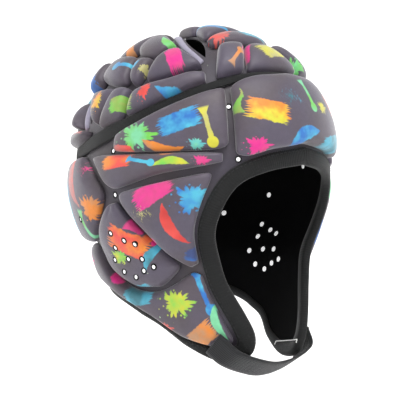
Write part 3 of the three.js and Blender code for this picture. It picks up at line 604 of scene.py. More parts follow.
BAND_MARKS = [
    # forehead
    ("brush", (21, 0.78), 12, 34, 13, "orange", "yellow"),
    ("splash", (27, 0.93), 0, 20, 15, "magenta", "pink"),
    ("leaf", (5, 0.9), 150, 30, 15, "blue", "turquoise"),
    ("drip", (-4, 0.7), 262, 22, 7, "lime", "mint"),
    ("scratch", (8, 0.72), 20, 22, 14, "turquoise", "teal"),
    ("brush", (-17, 0.92), 172, 30, 11, "teal", "turquoise"),
    ("leaf", (-26, 0.76), 40, 26, 13, "salmon", "coral"),
    ("splash", (-12, 0.76), 0, 13, 11, "yellow", "khaki"),
    ("flame", (33, 0.72), 95, 18, 10, "lime", "olive"),
    # right brow, temple and face
    ("splash", (78, 0.88), 0, 30, 24, "lime", "mint"),
    ("brush", (59, 0.82), 160, 32, 12, "blue", "turquoise"),
    ("drip", (47, 0.84), 255, 26, 8, "yellow", "khaki"),
    ("leaf", (66, 0.93), 10, 26, 11, "orange", "tan"),
    ("brush", (85, 0.945), 5, 18, 7, "coral", "salmon"),
    ("splash", (52, 0.92), 0, 12, 10, "turquoise", "mint"),
    ("brush", (88, 0.99), 170, 26, 10, "orange", "coral"),
    ("leaf", (63, 1.0), 175, 24, 9, "yellow", "lime"),
    ("splash", (50, 0.99), 0, 12, 9, "magenta", "pink"),
    ("drip", (76, 0.99), 190, 20, 6, "turquoise", "blue"),
    ("brush", (70, 1.13), 150, 32, 12, "pink", "magenta"),
    ("splash", (53, 1.16), 0, 28, 24, "turquoise", "blue"),
    ("leaf", (62, 1.27), 60, 28, 13, "coral", "red"),
    ("drip", (50, 1.31), 285, 30, 8, "mint", "lime"),
    ("scratch", (75, 1.22), 0, 18, 12, "yellow", "khaki"),
    ("brush", (54, 1.42), 200, 18, 9, "navy", "blue"),
    # right ear, cheek and rear
    ("brush", (86, 1.35), 25, 36, 15, "coral", "orange"),
    ("leaf", (76, 1.43), 120, 24, 12, "turquoise", "teal"),
    ("splash", (93, 1.42), 0, 20, 18, "lime", "yellow"),
    ("drip", (79, 1.31), 215, 24, 7, "magenta", "pink"),
    ("leaf", (103, 1.53), 20, 26, 14, "magenta", "pink"),
    ("brush", (88, 1.62), 172, 30, 12, "turquoise", "teal"),
    ("splash", (66, 1.65), 0, 28, 24, "yellow", "lime"),
    ("drip", (53, 1.6), 250, 32, 9, "blue", "turquoise"),
    ("brush", (58, 1.8), 150, 28, 12, "orange", "tan"),
    ("leaf", (48, 1.75), 80, 24, 11, "mint", "mint"),
    ("splash", (76, 1.76), 0, 16, 12, "salmon", "coral"),
    ("leaf", (120, 1.08), 70, 36, 18, "coral", "salmon"),
    ("brush", (133, 1.2), 95, 38, 14, "turquoise", "blue"),
    ("splash", (106, 1.2), 0, 28, 24, "orange", "tan"),
    ("drip", (116, 1.3), 275, 30, 8, "lime", "mint"),
    ("scratch", (110, 1.02), 0, 20, 14, "pink", "magenta"),
    ("splash", (134, 1.46), 0, 26, 20, "magenta", "pink"),
    # nape
    ("splash", (181, 1.12), 0, 52, 46, "turquoise", "blue"),
    ("brush", (166, 1.28), 30, 40, 13, "coral", "salmon"),
    ("leaf", (193, 1.26), 120, 34, 16, "lime", "olive"),
    ("drip", (168, 1.08), 275, 34, 8, "orange", "tan"),
    ("brush", (176, 1.47), 175, 46, 12, "yellow", "khaki"),
    ("splash", (198, 1.46), 0, 22, 18, "magenta", "pink"),
    # left
    ("brush", (-63, 0.89), 176, 44, 14, "turquoise", "teal"),
    ("splash", (-84, 0.9), 0, 24, 18, "orange", "tan"),
    ("leaf", (-48, 0.85), 60, 24, 13, "lime", "mint"),
    ("drip", (-76, 1.0), 265, 26, 8, "magenta", "pink"),
    ("brush", (-92, 1.0), 165, 26, 10, "coral", "salmon"),
    ("splash", (-58, 1.3), 0, 30, 28, "blue", "navy"),
    ("leaf", (-72, 1.19), 30, 30, 14, "yellow", "khaki"),
    ("brush", (-50, 1.11), 20, 28, 11, "mint", "mint"),
    ("splash", (-85, 1.38), 0, 38, 36, "magenta", "pink"),
    ("brush", (-74, 1.33), 305, 32, 13, "navy", "blue"),
    ("leaf", (-97, 1.27), 70, 22, 12, "mint", "teal"),
    ("brush", (-51, 1.68), 118, 54, 16, "lime", "olive"),
    ("flame", (-64, 1.72), 40, 28, 15, "turquoise", "blue"),
    ("brush", (-86, 1.66), 25, 28, 14, "salmon", "red"),
    ("leaf", (-110, 1.5), 80, 30, 22, "orange", "yellow"),
    ("brush", (-132, 1.1), 84, 44, 16, "pink", "magenta"),
    ("scratch", (-107, 1.12), 120, 28, 24, "turquoise", "mint"),
    ("splash", (-130, 1.46), 0, 28, 20, "khaki", "lime"),
]
CROWN_MARKS = [
    # front
    ("brush", (-0.02, 0.43), 8, 26, 12, "yellow", "khaki"),
    ("splash", (-0.2, 0.47), 0, 20, 16, "lime", "mint"),
    ("leaf", (0.13, 0.41), 40, 20, 10, "magenta", "pink"),
    ("drip", (0.24, 0.43), 200, 18, 6, "orange", "tan"),
    ("splash", (0.16, 0.24), 0, 24, 18, "coral", "salmon"),
    ("brush", (-0.05, 0.26), 172, 26, 10, "turquoise", "teal"),
    ("leaf", (0.06, 0.1), 110, 26, 12, "blue", "turquoise"),
    ("drip", (-0.1, 0.06), 250, 18, 6, "yellow", "lime"),
    # right
    ("leaf", (0.6, 0.29), 110, 26, 13, "turquoise", "blue"),
    ("splash", (0.65, 0.14), 0, 16, 14, "coral", "red"),
    ("brush", (0.72, 0.0), 100, 24, 10, "lime", "olive"),
    ("splash", (0.67, -0.22), 0, 18, 16, "orange", "yellow"),
    ("brush", (0.44, 0.2), 50, 24, 10, "magenta", "pink"),
    ("leaf", (0.33, 0.08), 70, 22, 11, "mint", "lime"),
    ("drip", (0.5, -0.08), 265, 24, 8, "turquoise", "blue"),
    ("splash", (0.53, 0.05), 0, 9, 8, "yellow", "khaki"),
    ("splash", (0.48, -0.38), 0, 22, 18, "blue", "navy"),
    ("brush", (0.7, -0.42), 60, 24, 10, "salmon", "coral"),
    ("leaf", (0.3, -0.2), 20, 24, 12, "orange", "tan"),
    # back
    ("splash", (0.02, -0.46), 0, 34, 22, "coral", "red"),
    ("brush", (0.3, -0.62), 20, 30, 12, "turquoise", "teal"),
    ("leaf", (0, -0.76), 10, 34, 14, "magenta", "pink"),
    ("brush", (-0.33, -0.7), 160, 30, 14, "orange", "tan"),
    ("splash", (0.5, -0.74), 0, 22, 16, "blue", "navy"),
    ("brush", (0.12, -0.24), 170, 26, 10, "yellow", "khaki"),
    # left
    ("brush", (-0.43, 0.18), 60, 30, 15, "turquoise", "blue"),
    ("splash", (-0.3, -0.02), 0, 24, 20, "magenta", "pink"),
    ("leaf", (-0.62, 0.3), 60, 26, 12, "orange", "yellow"),
    ("brush", (-0.72, 0.02), 95, 26, 11, "lime", "olive"),
    ("splash", (-0.54, -0.14), 0, 26, 20, "mint", "teal"),
    ("brush", (-0.24, -0.28), 10, 26, 11, "salmon", "coral"),
    ("leaf", (-0.66, -0.24), 110, 22, 12, "blue", "turquoise"),
    ("splash", (-0.5, -0.45), 0, 22, 16, "khaki", "lime"),
]
band_print = [(kind, band_map(*where), *rest) for kind, where, *rest in BAND_MARKS]
crown_print = [(kind, (CROWN_ARC * where[0], CROWN_ARC * where[1]), *rest)
               for kind, where, *rest in CROWN_MARKS]


def cut_from(marks, spots, name):
    """Print of a piece cut from the cloth: only the marks that reach its spots."""
    low = [min(spot[i] for spot in spots) for i in (0, 1)]
    high = [max(spot[i] for spot in spots) for i in (0, 1)]
    near = [mark for mark in marks
            if all(low[i] - mark[3] * MM / 2 < mark[1][i] < high[i] + mark[3] * MM / 2 for i in (0, 1))]
    return print_material(name, near)


# Painted shade: the cover shows mostly in the grooves between the cells, so its whole print is darkened by
# this factor.
COVER_SHADE = 0.55
shaded_cover_print = print_material("shaded_cover_print", [], COVER_SHADE)
cover = new_piece("printed_cover", fitted_sheet(COVER_LOW, COVER_HIGH), shaded_cover_print)
pierce(cover, hole_tool, vent_tool)

# Crown tape
# Flat black knitted tape that covers the seam between crown and band; it lies recessed between the pads
# on both sides, and is sewn down along its two edges. It is made wider at the sides than at the front,
# where shade falls under the overhanging crown cells, so part of its black is painted shade.
TRIM_WIDTH = 8 * MM
TRIM_THICKNESS = 1.6 * MM
TRIM_GAP = 0.9 * MM
TRIM_SEAT = COVER_HIGH + 0.8 * MM
TAPE_BLACK = (0.0065, 0.0068, 0.007, 1)

# turn, level, and width as a share of the tape's width; the width grows towards the sides, where the tape
# also covers painted shade under the crown cells
SEAM = [
    (0, 0.5485, 0.45), (24, 0.568, 0.6), (48, 0.636, 0.8), (66, 0.711, 0.8), (88, 0.817, 1.15),
    (104, 0.877, 1.3),
    (125, 0.935, 1.0), (180, 0.965, 0.85),
]


def from_front(turn):
    return abs(turn - 360 if turn > 180 else turn)


def seam_level(turn):
    return table_value(SEAM, 1, from_front(turn))


def seam_half(turn):
    return table_value(SEAM, 2, from_front(turn)) * TRIM_WIDTH / 2 / CROWN_ARC


def crown_edge(turn):
    return seam_level(turn) - seam_half(turn) - TRIM_GAP / CROWN_ARC


def band_edge(turn):
    return seam_level(turn) + seam_half(turn) + TRIM_GAP / CROWN_ARC


# Section of the tape: share of its half width, and share of its thickness
TRIM_SECTION = [(-1, 0), (-1, 0.55), (-0.93, 0.9), (-0.8, 1), (0, 1.08), (0.8, 1), (0.93, 0.9),
    (1, 0.55), (1, 0)]


BAND_LENGTH = 0.55
BAND_GIRTH = 0.03


def swept_band(section_count, steps, place):
    """Closed band whose points are placed by a share of the way round and a step of the section."""
    bm = bmesh.new()
    bmesh.ops.create_grid(bm, x_segments=steps, y_segments=section_count, size=0.5)
    charts = []
    for vert in bm.verts:
        around, step = vert.co.x + 0.5, round((vert.co.y + 0.5) * section_count)
        charts.append((around, step / section_count))
        vert.co = place(around % 1, step % section_count)
    write_map(bm, charts, lambda around, part: (around * BAND_LENGTH, part * BAND_GIRTH))
    bmesh.ops.remove_doubles(bm, verts=bm.verts, dist=0.01 * MM)
    return bm


def trim_point(around, step):
    side, rise = TRIM_SECTION[step]
    turn = 360 * around
    place = (turn, seam_level(turn) + side * seam_half(turn))
    return on_head(place, TRIM_SEAT + rise * TRIM_THICKNESS)




def ribbed_material(name, colour, pitch, depth, sheen, along):
    """Ribbed narrow cloth; the ribs run across it, or along it."""
    material, tree, shader = cloth_material(name, 0.8, sheen, 0.3)
    place = node(tree, "UVMap", uv_map="print_map").outputs[0]
    parts = node(tree, "SeparateXYZ", {0: place}).outputs
    rib = calc(tree, "SINE", calc(tree, "MULTIPLY", parts[1 if along else 0], 2 * pi / pitch))
    cross = calc(tree, "SINE", calc(tree, "MULTIPLY", parts[0 if along else 1], 2 * pi / (pitch * 0.6)))
    height = calc(tree, "MULTIPLY_ADD", cross, 0.18, calc(tree, "MULTIPLY_ADD", rib, 0.4, 0.5))
    fuzz = node(tree, "TexNoise", {"Vector": place, "Scale": 900.0, "Detail": 3.0}).outputs[0]
    # The colour is darker in the low parts of the ribs, which is painted shade, with some random fuzz of
    # tone.
    tone = calc(tree, "MULTIPLY_ADD", height, 0.35, calc(tree, "MULTIPLY_ADD", fuzz, 0.5, 0.55))
    tree.links.new(blended(tree, 1.0, colour, grey(tree, tone), "MULTIPLY"), shader.inputs["Base Color"])
    raise_by(tree, shader, height, depth)
    return material


tape_cloth = ribbed_material("black_tape", TAPE_BLACK, 1.1 * MM, 0.14 * MM, 0.15, False)
crown_trim = new_piece("crown_tape_and_shade", swept_band(len(TRIM_SECTION), 240, trim_point), tape_cloth)
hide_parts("crown_trim")

# Bound edge
# Black ribbed knit binding folded over the rim of cover and lining, broad round the face and narrow
# along the neck, and sewn through all layers beside its inner edge.
FACE_TAPE_WIDTH = 9 * MM
NECK_TAPE_WIDTH = 4 * MM
TAPE_CLEARANCE = 0.95 * MM
TAPE_GAP = 1.4 * MM
CHEEK_CORNER = 45
NECK_CORNER = 78
EDGE_STEPS = 480


def tape_width(around):
    share = (abs(edge_at(around)[0]) - CHEEK_CORNER) / (NECK_CORNER - CHEEK_CORNER)
    share = min(max(share, 0), 1)
    share = share * share * (3 - 2 * share)
    return FACE_TAPE_WIDTH + (NECK_TAPE_WIDTH - FACE_TAPE_WIDTH) * share


# Section of the binding: distance in from the rim as a share of its width plus millimetres, and height
# in millimetres above the head form
TAPE_SECTION = [
    (0, -2.15, 2.2), (0, -1.9, 3.9), (0, -1.1, 4.9), (0.1, 0.3, 5.3), (0.45, 0, 5.35),
    (0.8, 0, 5.15), (0.97, 0, 4.6),
    (1, 0.15, 3.9), (1, -0.1, 2.9), (0.9, -0.2, 2.65), (0.45, 0, 2.75), (0, 0.6, 2.8), (0, -0.5, 1.2),
    (0, 0.6, -0.15), (0.4, 0, -0.1), (0.8, 0, -0.1), (0.84, 0, -0.45), (0.8, 0, -0.8), (0.4, 0, -0.95),
    (0, 0.2, -0.85), (0, -1.3, -0.3), (0, -1.95, 0.7),
]


def in_from_edge(around, distance):
    """Turn and level of a point of the form at a distance in from the rim."""
    turn, level, _ = edge_at(around)
    ends = []
    for near in (around - 0.002, around + 0.002):
        near = (near + 0.5) % 1 - 0.5
        near_turn, near_level, _ = edge_at(near)
        ends.append(on_head((near_turn, near_level)))
    along = ends[1] - ends[0]
    inward = along.cross(form_normal(radians(turn), level)).normalized()
    per_turn = on_head((turn + 0.5, level)) - on_head((turn - 0.5, level))
    per_level = (on_head((turn, level + 0.002)) - on_head((turn, level - 0.002))) / 0.004
    tt, tl, ll = per_turn.dot(per_turn), per_turn.dot(per_level), per_level.dot(per_level)
    a, b = per_turn.dot(inward) * distance, per_level.dot(inward) * distance
    scale = tt * ll - tl * tl
    return turn + (ll * a - tl * b) / scale, level + (tt * b - tl * a) / scale


def binding_point(around, step):
    share, extra, height = TAPE_SECTION[step]
    around = (around + 0.5) % 1 - 0.5
    chart = in_from_edge(around, share * tape_width(around) + extra * MM)
    return on_head(chart, height * MM)


binding = new_piece("edge_binding_tape", swept_band(len(TAPE_SECTION), EDGE_STEPS, binding_point), tape_cloth)
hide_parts("edge_binding")

# Band cells
# Closed-cell foam pads under the printed polyester, one in each sewn cell of the band: forehead, brow,
# temple, face, ear, cheek, rear and nape. Each is crowned, with its sides drawn down to the seam.
PAD_THICKNESS = 8.55 * MM
BAND_REACH = 1.6
CROWN_REACH = 0.6
BAND_SEAT = COVER_HIGH
CROWN_SEAT = COVER_HIGH
PAD_EDGE = 0.35
END_ROUND = 0.16
END_WIDTH = 0.8
PAD_CELL = 2.6 * MM


def row(start, end, height=1):
    return start, end, height


def down(turn, top, low):
    return row((turn, top), (turn, low))


def to_plan(turn, level):
    return level * sin(radians(turn)), level * cos(radians(turn))


edge_points = kdtree.KDTree(2 * EDGE_STEPS)
edge_samples = []
for i in range(2 * EDGE_STEPS):
    share = i / (2 * EDGE_STEPS) - 0.5
    turn, level, _ = edge_at(share)
    edge_points.insert(on_head((turn, level)), i)
    edge_samples.append((turn, level, tape_width(share) + TAPE_CLEARANCE + TAPE_GAP))
edge_points.balance()


def clear_of_tape(chart):
    turn, level = chart
    _, index, distance = edge_points.find(on_head(chart))
    edge_turn, edge_level, reach = edge_samples[index]
    push = max(1, reach / max(distance, 1e-6))
    edge_turn += 360 * round((turn - edge_turn) / 360)
    return edge_turn + (turn - edge_turn) * push, edge_level + (level - edge_level) * push


def clear_of_trim(chart):
    turn, level = chart
    if level < seam_level(turn):
        return turn, min(level, crown_edge(turn))
    return turn, max(level, band_edge(turn))


def pushed(corner, away, distance, plan):
    a, b = (on_head(from_plan(*c) if plan else c, COVER_HIGH) for c in (corner, away))
    share = distance * MM / (a - b).length
    return tuple(value + (value - other) * share for value, other in zip(corner, away))


def reached(rows, reach, plan, centre):
    """Rows of a cell, spread outward to the seam round it."""
    wide = [(pushed(a, b, reach, plan), pushed(b, a, reach, plan), h) for a, b, h in rows]

    def end(i, next_row):
        return (pushed(wide[i][0], wide[next_row][0], reach, plan),
                pushed(wide[i][1], wide[next_row][1], reach, plan),
                wide[i][2])

    last = len(rows) - 1
    result = list(wide)
    result[0] = end(0, 1)
    if not centre:
        result[last] = end(last, last - 1)
    return result


def flipped(side_row, plan):
    def flip(corner):
        a, b = corner
        return (-a, b) if plan else (360 - a if abs(a) > 90 else -a, b)
    return flip(side_row[0]), flip(side_row[1]), side_row[2]


def swell(x):
    return sqrt(max(1 - (2 * x - 1) ** 4, 0))


def eased(x, pull=0.75):
    """Share of the way across a cell, with the steps closer together at both sides."""
    return x + pull * ((1 - cos(pi * x)) / 2 - x)


def pad_mesh(rows, seat, reach, plan=False, mirror=False, centre=False, thick=1, lift=0, extra=0,
             rise_to=None):
    """Bmesh of one padded cell and the turn and level of each of its points."""
    half = reached(rows, reach, plan, centre)
    if centre:
        half = half + [flipped(r, plan) for r in reversed(half[:-1])]
    sides = [[r[0] for r in half], [r[1] for r in half]]
    heights = [(r[2],) for r in half]

    def chart_at(along, across):
        end = min(along, 1 - along) / END_ROUND
        narrow = END_WIDTH + (1 - END_WIDTH) * sqrt(1 - (1 - end) ** 2) if end < 1 else 1
        a, b = (curve_at(side, along) for side in sides)
        share = 0.5 + (across - 0.5) * narrow
        corner = [p + (q - p) * share for p, q in zip(a, b)]
        chart = from_plan(*corner) if plan else tuple(corner)
        chart = clear_of_tape(clear_of_trim(chart))
        return (-chart[0], chart[1]) if mirror else chart

    lengths = []
    for line in ([(k / 12, 0.5) for k in range(13)], [(0.5, k / 12) for k in range(13)]):
        places = [on_head(chart_at(*at)) for at in line]
        lengths.append(sum((b - a).length for a, b in zip(places, places[1:])))
    along_count, across_count = (min(max(round(length / PAD_CELL), 6), 64) for length in lengths)
    bm = divided_block(along_count, across_count, 2)
    # The base points are marked: the mark holds them in the filling, and it darkens the print there as
    # painted shade.
    base = bm.verts.layers.float.new("sewn")
    charts = []
    for vert in bm.verts:
        along, across = eased(vert.co.x + 0.5), eased(vert.co.y + 0.5)
        full = PAD_EDGE + (1 - PAD_EDGE) * swell(along) * swell(across)
        rise = (PAD_THICKNESS * thick + lift * MM) * curve_at(heights, along)[0] * full
        charts.append(chart_at(along, across))
        vert[base] = 1.0 if vert.co.z < -0.4 else 0.0
        vert.co = on_head(charts[-1], seat + extra * MM + (vert.co.z + 0.5) * rise)
    return bm, charts


def divided_block(along, across, through):
    """Block of side 1, evenly divided, whose points are then moved to their places."""
    bm = bmesh.new()
    bmesh.ops.create_cube(bm, size=1)
    for axis, count in enumerate((along, across, through)):
        edges = [e for e in bm.edges if abs(e.verts[0].co[axis] - e.verts[1].co[axis]) > 1e-6]
        if count > 1:
            bmesh.ops.subdivide_edges(bm, edges=edges, cuts=count - 1, use_grid_fill=True)
    return bm


PIERCED = ["ear_pad_right", "ear_pad_left", "rear_pad_right", "rear_pad_left", "temple_bar_left"]
pads = {}


def add_pad(name, material, flat, fill, **spec):
    bm, charts = pad_mesh(**spec)
    write_map(bm, charts, flat)
    if isinstance(material, list):
        material = cut_from(material, [flat(*chart) for chart in charts], name + "_print")
    pad = new_piece(name + "_cell", bm, material)
    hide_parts(name)
    pads[name] = pad
    return pad


SIDE_PADS = {
    "brow_wedge": {
        "reach": 2.2,
        "rows": [
            down(90, band_edge(90) + 0.006, 0.929),
            down(79, band_edge(79) + 0.004, 0.93),
            down(66, band_edge(66) + 0.004, 0.93),
            down(52, band_edge(52) + 0.004, 0.928),
            down(40.3, band_edge(40.3) + 0.01, 0.92),
        ],
    },
    "temple_bar": {
        "reach": 1.6,
        "thick": 0.9,
        "rows": [
            row((104.5, 0.972), (101, 1.022)),
            row((98, 0.968), (93.5, 1.105)),
            row((87, 0.969), (83, 1.087)),
            row((72, 0.97), (70, 1.044)),
            row((56, 0.965), (56, 1.015)),
            row((42.5, 0.965), (42.5, 0.988)),
        ],
    },
    "face_wedge": {
        "reach": 1.5,
        "extra": 0.45,
        "rows": [
            row((45.5, 1.05), (88.5, 1.147)),
            row((49.8, 1.15), (83.5, 1.222)),
            row((54, 1.26), (74.5, 1.328)),
            row((55.6, 1.36), (66, 1.422)),
            row((55.3, 1.462), (58, 1.478)),
        ],
    },
    "ear_pad": {
        "reach": 1.3,
        "extra": 0.7,
        "rows": [
            row((90.8, 1.186), (95, 1.192)),
            row((80.5, 1.315), (106.5, 1.31)),
            row((70.5, 1.412), (110.5, 1.41)),
            row((65, 1.49), (105.5, 1.505)),
            row((73, 1.573), (88, 1.578)),
        ],
    },
    "cheek_pad": {
        "reach": 1.8,
        "rows": [
            row((149, 1.395), (149, 1.553)),
            row((134, 1.395), (132, 1.566)),
            row((120, 1.425), (116, 1.598)),
            row((108, 1.545), (103, 1.635)),
            row((92, 1.612), (90, 1.685)),
            row((78, 1.622), (78, 1.765)),
            row((66, 1.575), (66, 1.855), 0.9),
            row((58, 1.527), (53, 1.892), 0.7),
            row((53, 1.532), (44.5, 1.85), 0.6),
        ],
    },
    "rear_pad": {
        "extra": 0.2,
        "rows": [
            row((115, band_edge(115) + 0.012), (149, band_edge(149) + 0.012)),
            row((106, 1.07), (150, 1.08)),
            row((100, 1.15), (151, 1.16)),
            row((109, 1.265), (151, 1.265)),
            row((119, 1.36), (149, 1.36)),
        ],
    },
}

# Pads that lie across the middle; their rows run from the right to the middle
MIDDLE_PADS = {
    "forehead_pad": {
        "reach": 2.4,
        "thick": 1.3,
        "rows": [
            down(34, band_edge(34) + 0.012, 0.962),
            down(23, band_edge(23) + 0.004, 0.95),
            down(11, band_edge(11) + 0.004, 0.934),
            down(0, band_edge(0) + 0.004, 0.926),
        ],
    },
    "nape_pad_upper": {
        "reach": 1.1,
        "extra": 0.2,
        "rows": [
            down(154, band_edge(154) + 0.012, 1.36),
            down(167, band_edge(167) + 0.006, 1.36),
            down(180, band_edge(180) + 0.006, 1.36),
        ],
    },
    "nape_pad_lower": {
        "rows": [
            down(153, 1.395, 1.553),
            down(167, 1.395, 1.553),
            down(180, 1.395, 1.553),
        ],
    },
}


def add_pads(table, pair, material, flat, fill, **shared):
    for name, spec in table.items():
        for side, mirror in ((("_right", False), ("_left", True)) if pair else (("", False),)):
            pad = add_pad(name + side, material, flat, fill, mirror=mirror, **{**shared, **spec})


add_pads(MIDDLE_PADS, False, band_print, band_map, 0.8, seat=BAND_SEAT, reach=BAND_REACH, centre=True)
add_pads(SIDE_PADS, True, band_print, band_map, 0.8, seat=BAND_SEAT, reach=BAND_REACH)

# Crown cells
# The same foam in small cells that fan out over the crown, fuller than those of the band, so that they
# nearly meet over the seams between them.
CROWN_SIDE_PADS = {
    "front_corner_pad": {
        "plan": True,
        "lift": 2.5,
        "rows": [
            row((0.105, 0.352), to_plan(26.2, crown_edge(26.2))),
            row((0.16, 0.325), to_plan(34, crown_edge(34))),
            row((0.222, 0.3), to_plan(42, crown_edge(42) - 0.006)),
        ],
    },
    "ring_pad_front": {
        "rows": [
            down(48.5, 0.556, crown_edge(48.5) - 0.002),
            down(57, 0.562, crown_edge(57)),
            down(67, 0.592, crown_edge(67)),
            down(77, 0.612, crown_edge(77)),
            down(87, 0.645, crown_edge(87)),
        ],
    },
    "ring_pad_middle": {
        "rows": [
            down(89.8, 0.635, crown_edge(89.8)),
            down(95.5, 0.623, crown_edge(95.5)),
            row((99.7, 0.632), (103.6, crown_edge(103.6))),
        ],
    },
    "ring_pad_rear": {
        "reach": 0.4,
        "rows": [
            row((105.4, 0.806), (107.4, 0.806)),
            row((103.7, 0.745), (113, 0.75)),
            row((102, 0.685), (118.5, 0.695)),
            row((101.5, 0.624), (123.5, 0.645)),
        ],
    },
    "crown_leaf_pad": {
        "plan": True,
        "thick": 1.1,
        "rows": [
            row((0.392, 0.322), (0.407, 0.318)),
            row((0.378, 0.225), (0.457, 0.285)),
            row((0.357, 0.15), (0.517, 0.222)),
            row((0.397, 0.108), (0.563, 0.15)),
            row((0.46, 0.085), (0.583, 0.1)),
        ],
    },
    "crown_slim_pad": {
        "rows": [
            row((84, 0.45), (95, 0.445)),
            row((84, 0.5), (94.4, 0.5)),
            row((84.6, 0.56), (92.5, 0.56)),
            row((85.3, 0.6), (89.3, 0.603)),
        ],
    },
    "crown_side_pad": {
        "reach": 1.1,
        "lift": 1,
        "rows": [
            row((98.5, 0.44), (94.6, 0.602)),
            row((107, 0.43), (103.5, 0.598)),
            row((117, 0.435), (112.5, 0.58)),
            row((126.5, 0.462), (120.5, 0.57)),
        ],
    },
    "crown_vent_pad": {
        "plan": True,
        "rows": [
            row((0.327, 0.105), (0.347, 0.1)),
            row((0.292, 0.052), (0.425, 0.066)),
            row((0.247, 0), (0.43, -0.012)),
            row((0.19, -0.075), (0.402, -0.075)),
            row((0.187, -0.138), (0.325, -0.128)),
        ],
    },
    "crown_top_pad": {
        "plan": True,
        "extra": 0.15,
        "reach": 1.8,
        "rows": [
            row((0.024, -0.168), (0.298, -0.158)),
            row((0.02, -0.222), (0.322, -0.235)),
            row((0.022, -0.282), (0.27, -0.362)),
        ],
    },
    "crown_rear_pad": {
        "reach": 2.4,
        "lift": 3,
        "rows": [
            row((130.8, 0.478), (124.6, 0.582)),
            row((134.5, 0.482), (128, 0.605)),
            row((138.2, 0.49), (131.2, 0.622)),
        ],
    },
    "back_wing_pad": {
        "lift": 2,
        "rows": [
            row((128, 0.802), (127.4, 0.818)),
            row((131, 0.786), (131.5, 0.82)),
            row((136, 0.75), (138, 0.82)),
            row((142, 0.712), (143, 0.82)),
            row((148, 0.672), (148, 0.82)),
        ],
    },
    "back_ring_pad": {
        "reach": 0,
        "rows": [
            row((113.5, 0.838), (113.5, crown_edge(113.5) - 0.006)),
            row((121, 0.837), (121, crown_edge(121))),
            row((131, 0.838), (131, crown_edge(131))),
            row((148, 0.84), (148, crown_edge(148))),
        ],
    },
}

CROWN_MIDDLE_PADS = {
    "front_centre_pad": {
        "plan": True,
        "rows": [
            row((0.083, 0.352), to_plan(22.6, crown_edge(22.6))),
            row((0.042, 0.346), to_plan(11.5, crown_edge(11.5))),
            row((0, 0.344), to_plan(0, crown_edge(0))),
        ],
    },
    "tongue_bar_pad": {
        "plan": True,
        "rows": [
            row((0.212, 0.214), (0.22, 0.262)),
            row((0.11, 0.206), (0.1, 0.316)),
            row((0, 0.203), (0, 0.322)),
        ],
    },
    "back_arch_pad": {
        "plan": True,
        "reach": 1.8,
        "rows": [
            row((0.245, -0.472), (0.262, -0.54)),
            row((0.13, -0.398), (0.125, -0.545)),
            row((0, -0.355), (0, -0.552)),
        ],
    },
    "back_centre_pad": {
        "reach": 1.8,
        "extra": 0.5,
        "lift": 2,
        "rows": [
            down(152, 0.655, crown_edge(152)),
            down(166, 0.602, crown_edge(166)),
            down(180, 0.588, crown_edge(180)),
        ],
    },
}


def across(half, front):
    return row((half, front), (-half, front))


TONGUE_PADS = {
    "tongue_top_pad": {
        "plan": True,
        "extra": 0.15,
        "rows": [across(0.075, 0.03), across(0.122, 0.09), across(0.16, 0.14), across(0.183, 0.184)],
    },
    "tongue_tip_pad": {
        "plan": True,
        "reach": 1,
        "rows": [across(0.018, -0.125), across(0.042, -0.06), across(0.066, 0.008)],
    },
}

add_pads(CROWN_MIDDLE_PADS, False, crown_print, crown_map, 0.9, seat=CROWN_SEAT, reach=CROWN_REACH,
         centre=True)
add_pads(TONGUE_PADS, False, crown_print, crown_map, 0.9, seat=CROWN_SEAT, reach=CROWN_REACH)
add_pads(CROWN_SIDE_PADS, True, crown_print, crown_map, 0.9, seat=CROWN_SEAT, reach=CROWN_REACH)

# Filling of the cells
# The foam presses the cover outward between its seams. A cloth simulation with pressure in each cell,
# its sewn base held, swells the modelled pads by a little more.
FILL_PRESSURE = 200
FILL_FRAMES = 12
MOST_SWELL = 0.7 * MM


def fill_cells(cells):
    for cell in cells:
        outward = bmesh.new()
        outward.from_mesh(cell.data)
        bmesh.ops.remove_doubles(outward, verts=outward.verts, dist=0.02 * MM)
        bmesh.ops.recalc_face_normals(outward, faces=outward.faces)
        outward.to_mesh(cell.data)
        outward.free()
        held = [i for i, value in enumerate(cell.data.attributes["sewn"].data) if value.value > 0.5]
        cell.vertex_groups.new(name="held").add(held, 1.0, "REPLACE")
        press = cell.modifiers.new("press", "CLOTH")
        press.settings.quality = 4
        press.settings.vertex_group_mass = "held"
        press.settings.use_pressure = True
        press.settings.uniform_pressure_force = FILL_PRESSURE
        press.settings.effector_weights.gravity = 0
        press.collision_settings.use_collision = False
        press.point_cache.frame_end = FILL_FRAMES
    for step in range(1, FILL_FRAMES + 1):
        bpy.context.scene.frame_set(step)
    graph = bpy.context.evaluated_depsgraph_get()
    for cell in cells:
        goals = [vert.co.copy() for vert in cell.evaluated_get(graph).data.vertices]
        for vert, goal in zip(cell.data.vertices, goals):
            move = goal - vert.co
            vert.co += move * min(1, MOST_SWELL / max(move.length, 1e-9))
    for cell in cells:
        cell.modifiers.clear()
        cell.vertex_groups.clear()
    bpy.context.scene.frame_set(1)


fill_cells(list(pads.values()))

hole_tops = {}
for name, pad in pads.items():
    rounded = pad.modifiers.new("rounded", "SUBSURF")
    rounded.levels = rounded.render_levels = 1
    if name in PIERCED or name.startswith(("ear", "rear")):
        settle(pad)
        mesh = pad.data
        surface = BVHTree.FromPolygons([v.co for v in mesh.vertices], [p.vertices for p in mesh.polygons])
        for chart in HOLES:
            out = form_normal(radians(chart[0]), chart[1])
            hit, _, _, _ = surface.ray_cast(on_head(chart, 30 * MM), -out, 30 * MM)
            if hit:
                hole_tops[chart] = (hit - on_head(chart)).dot(out)
        pierce(pad, hole_tool)

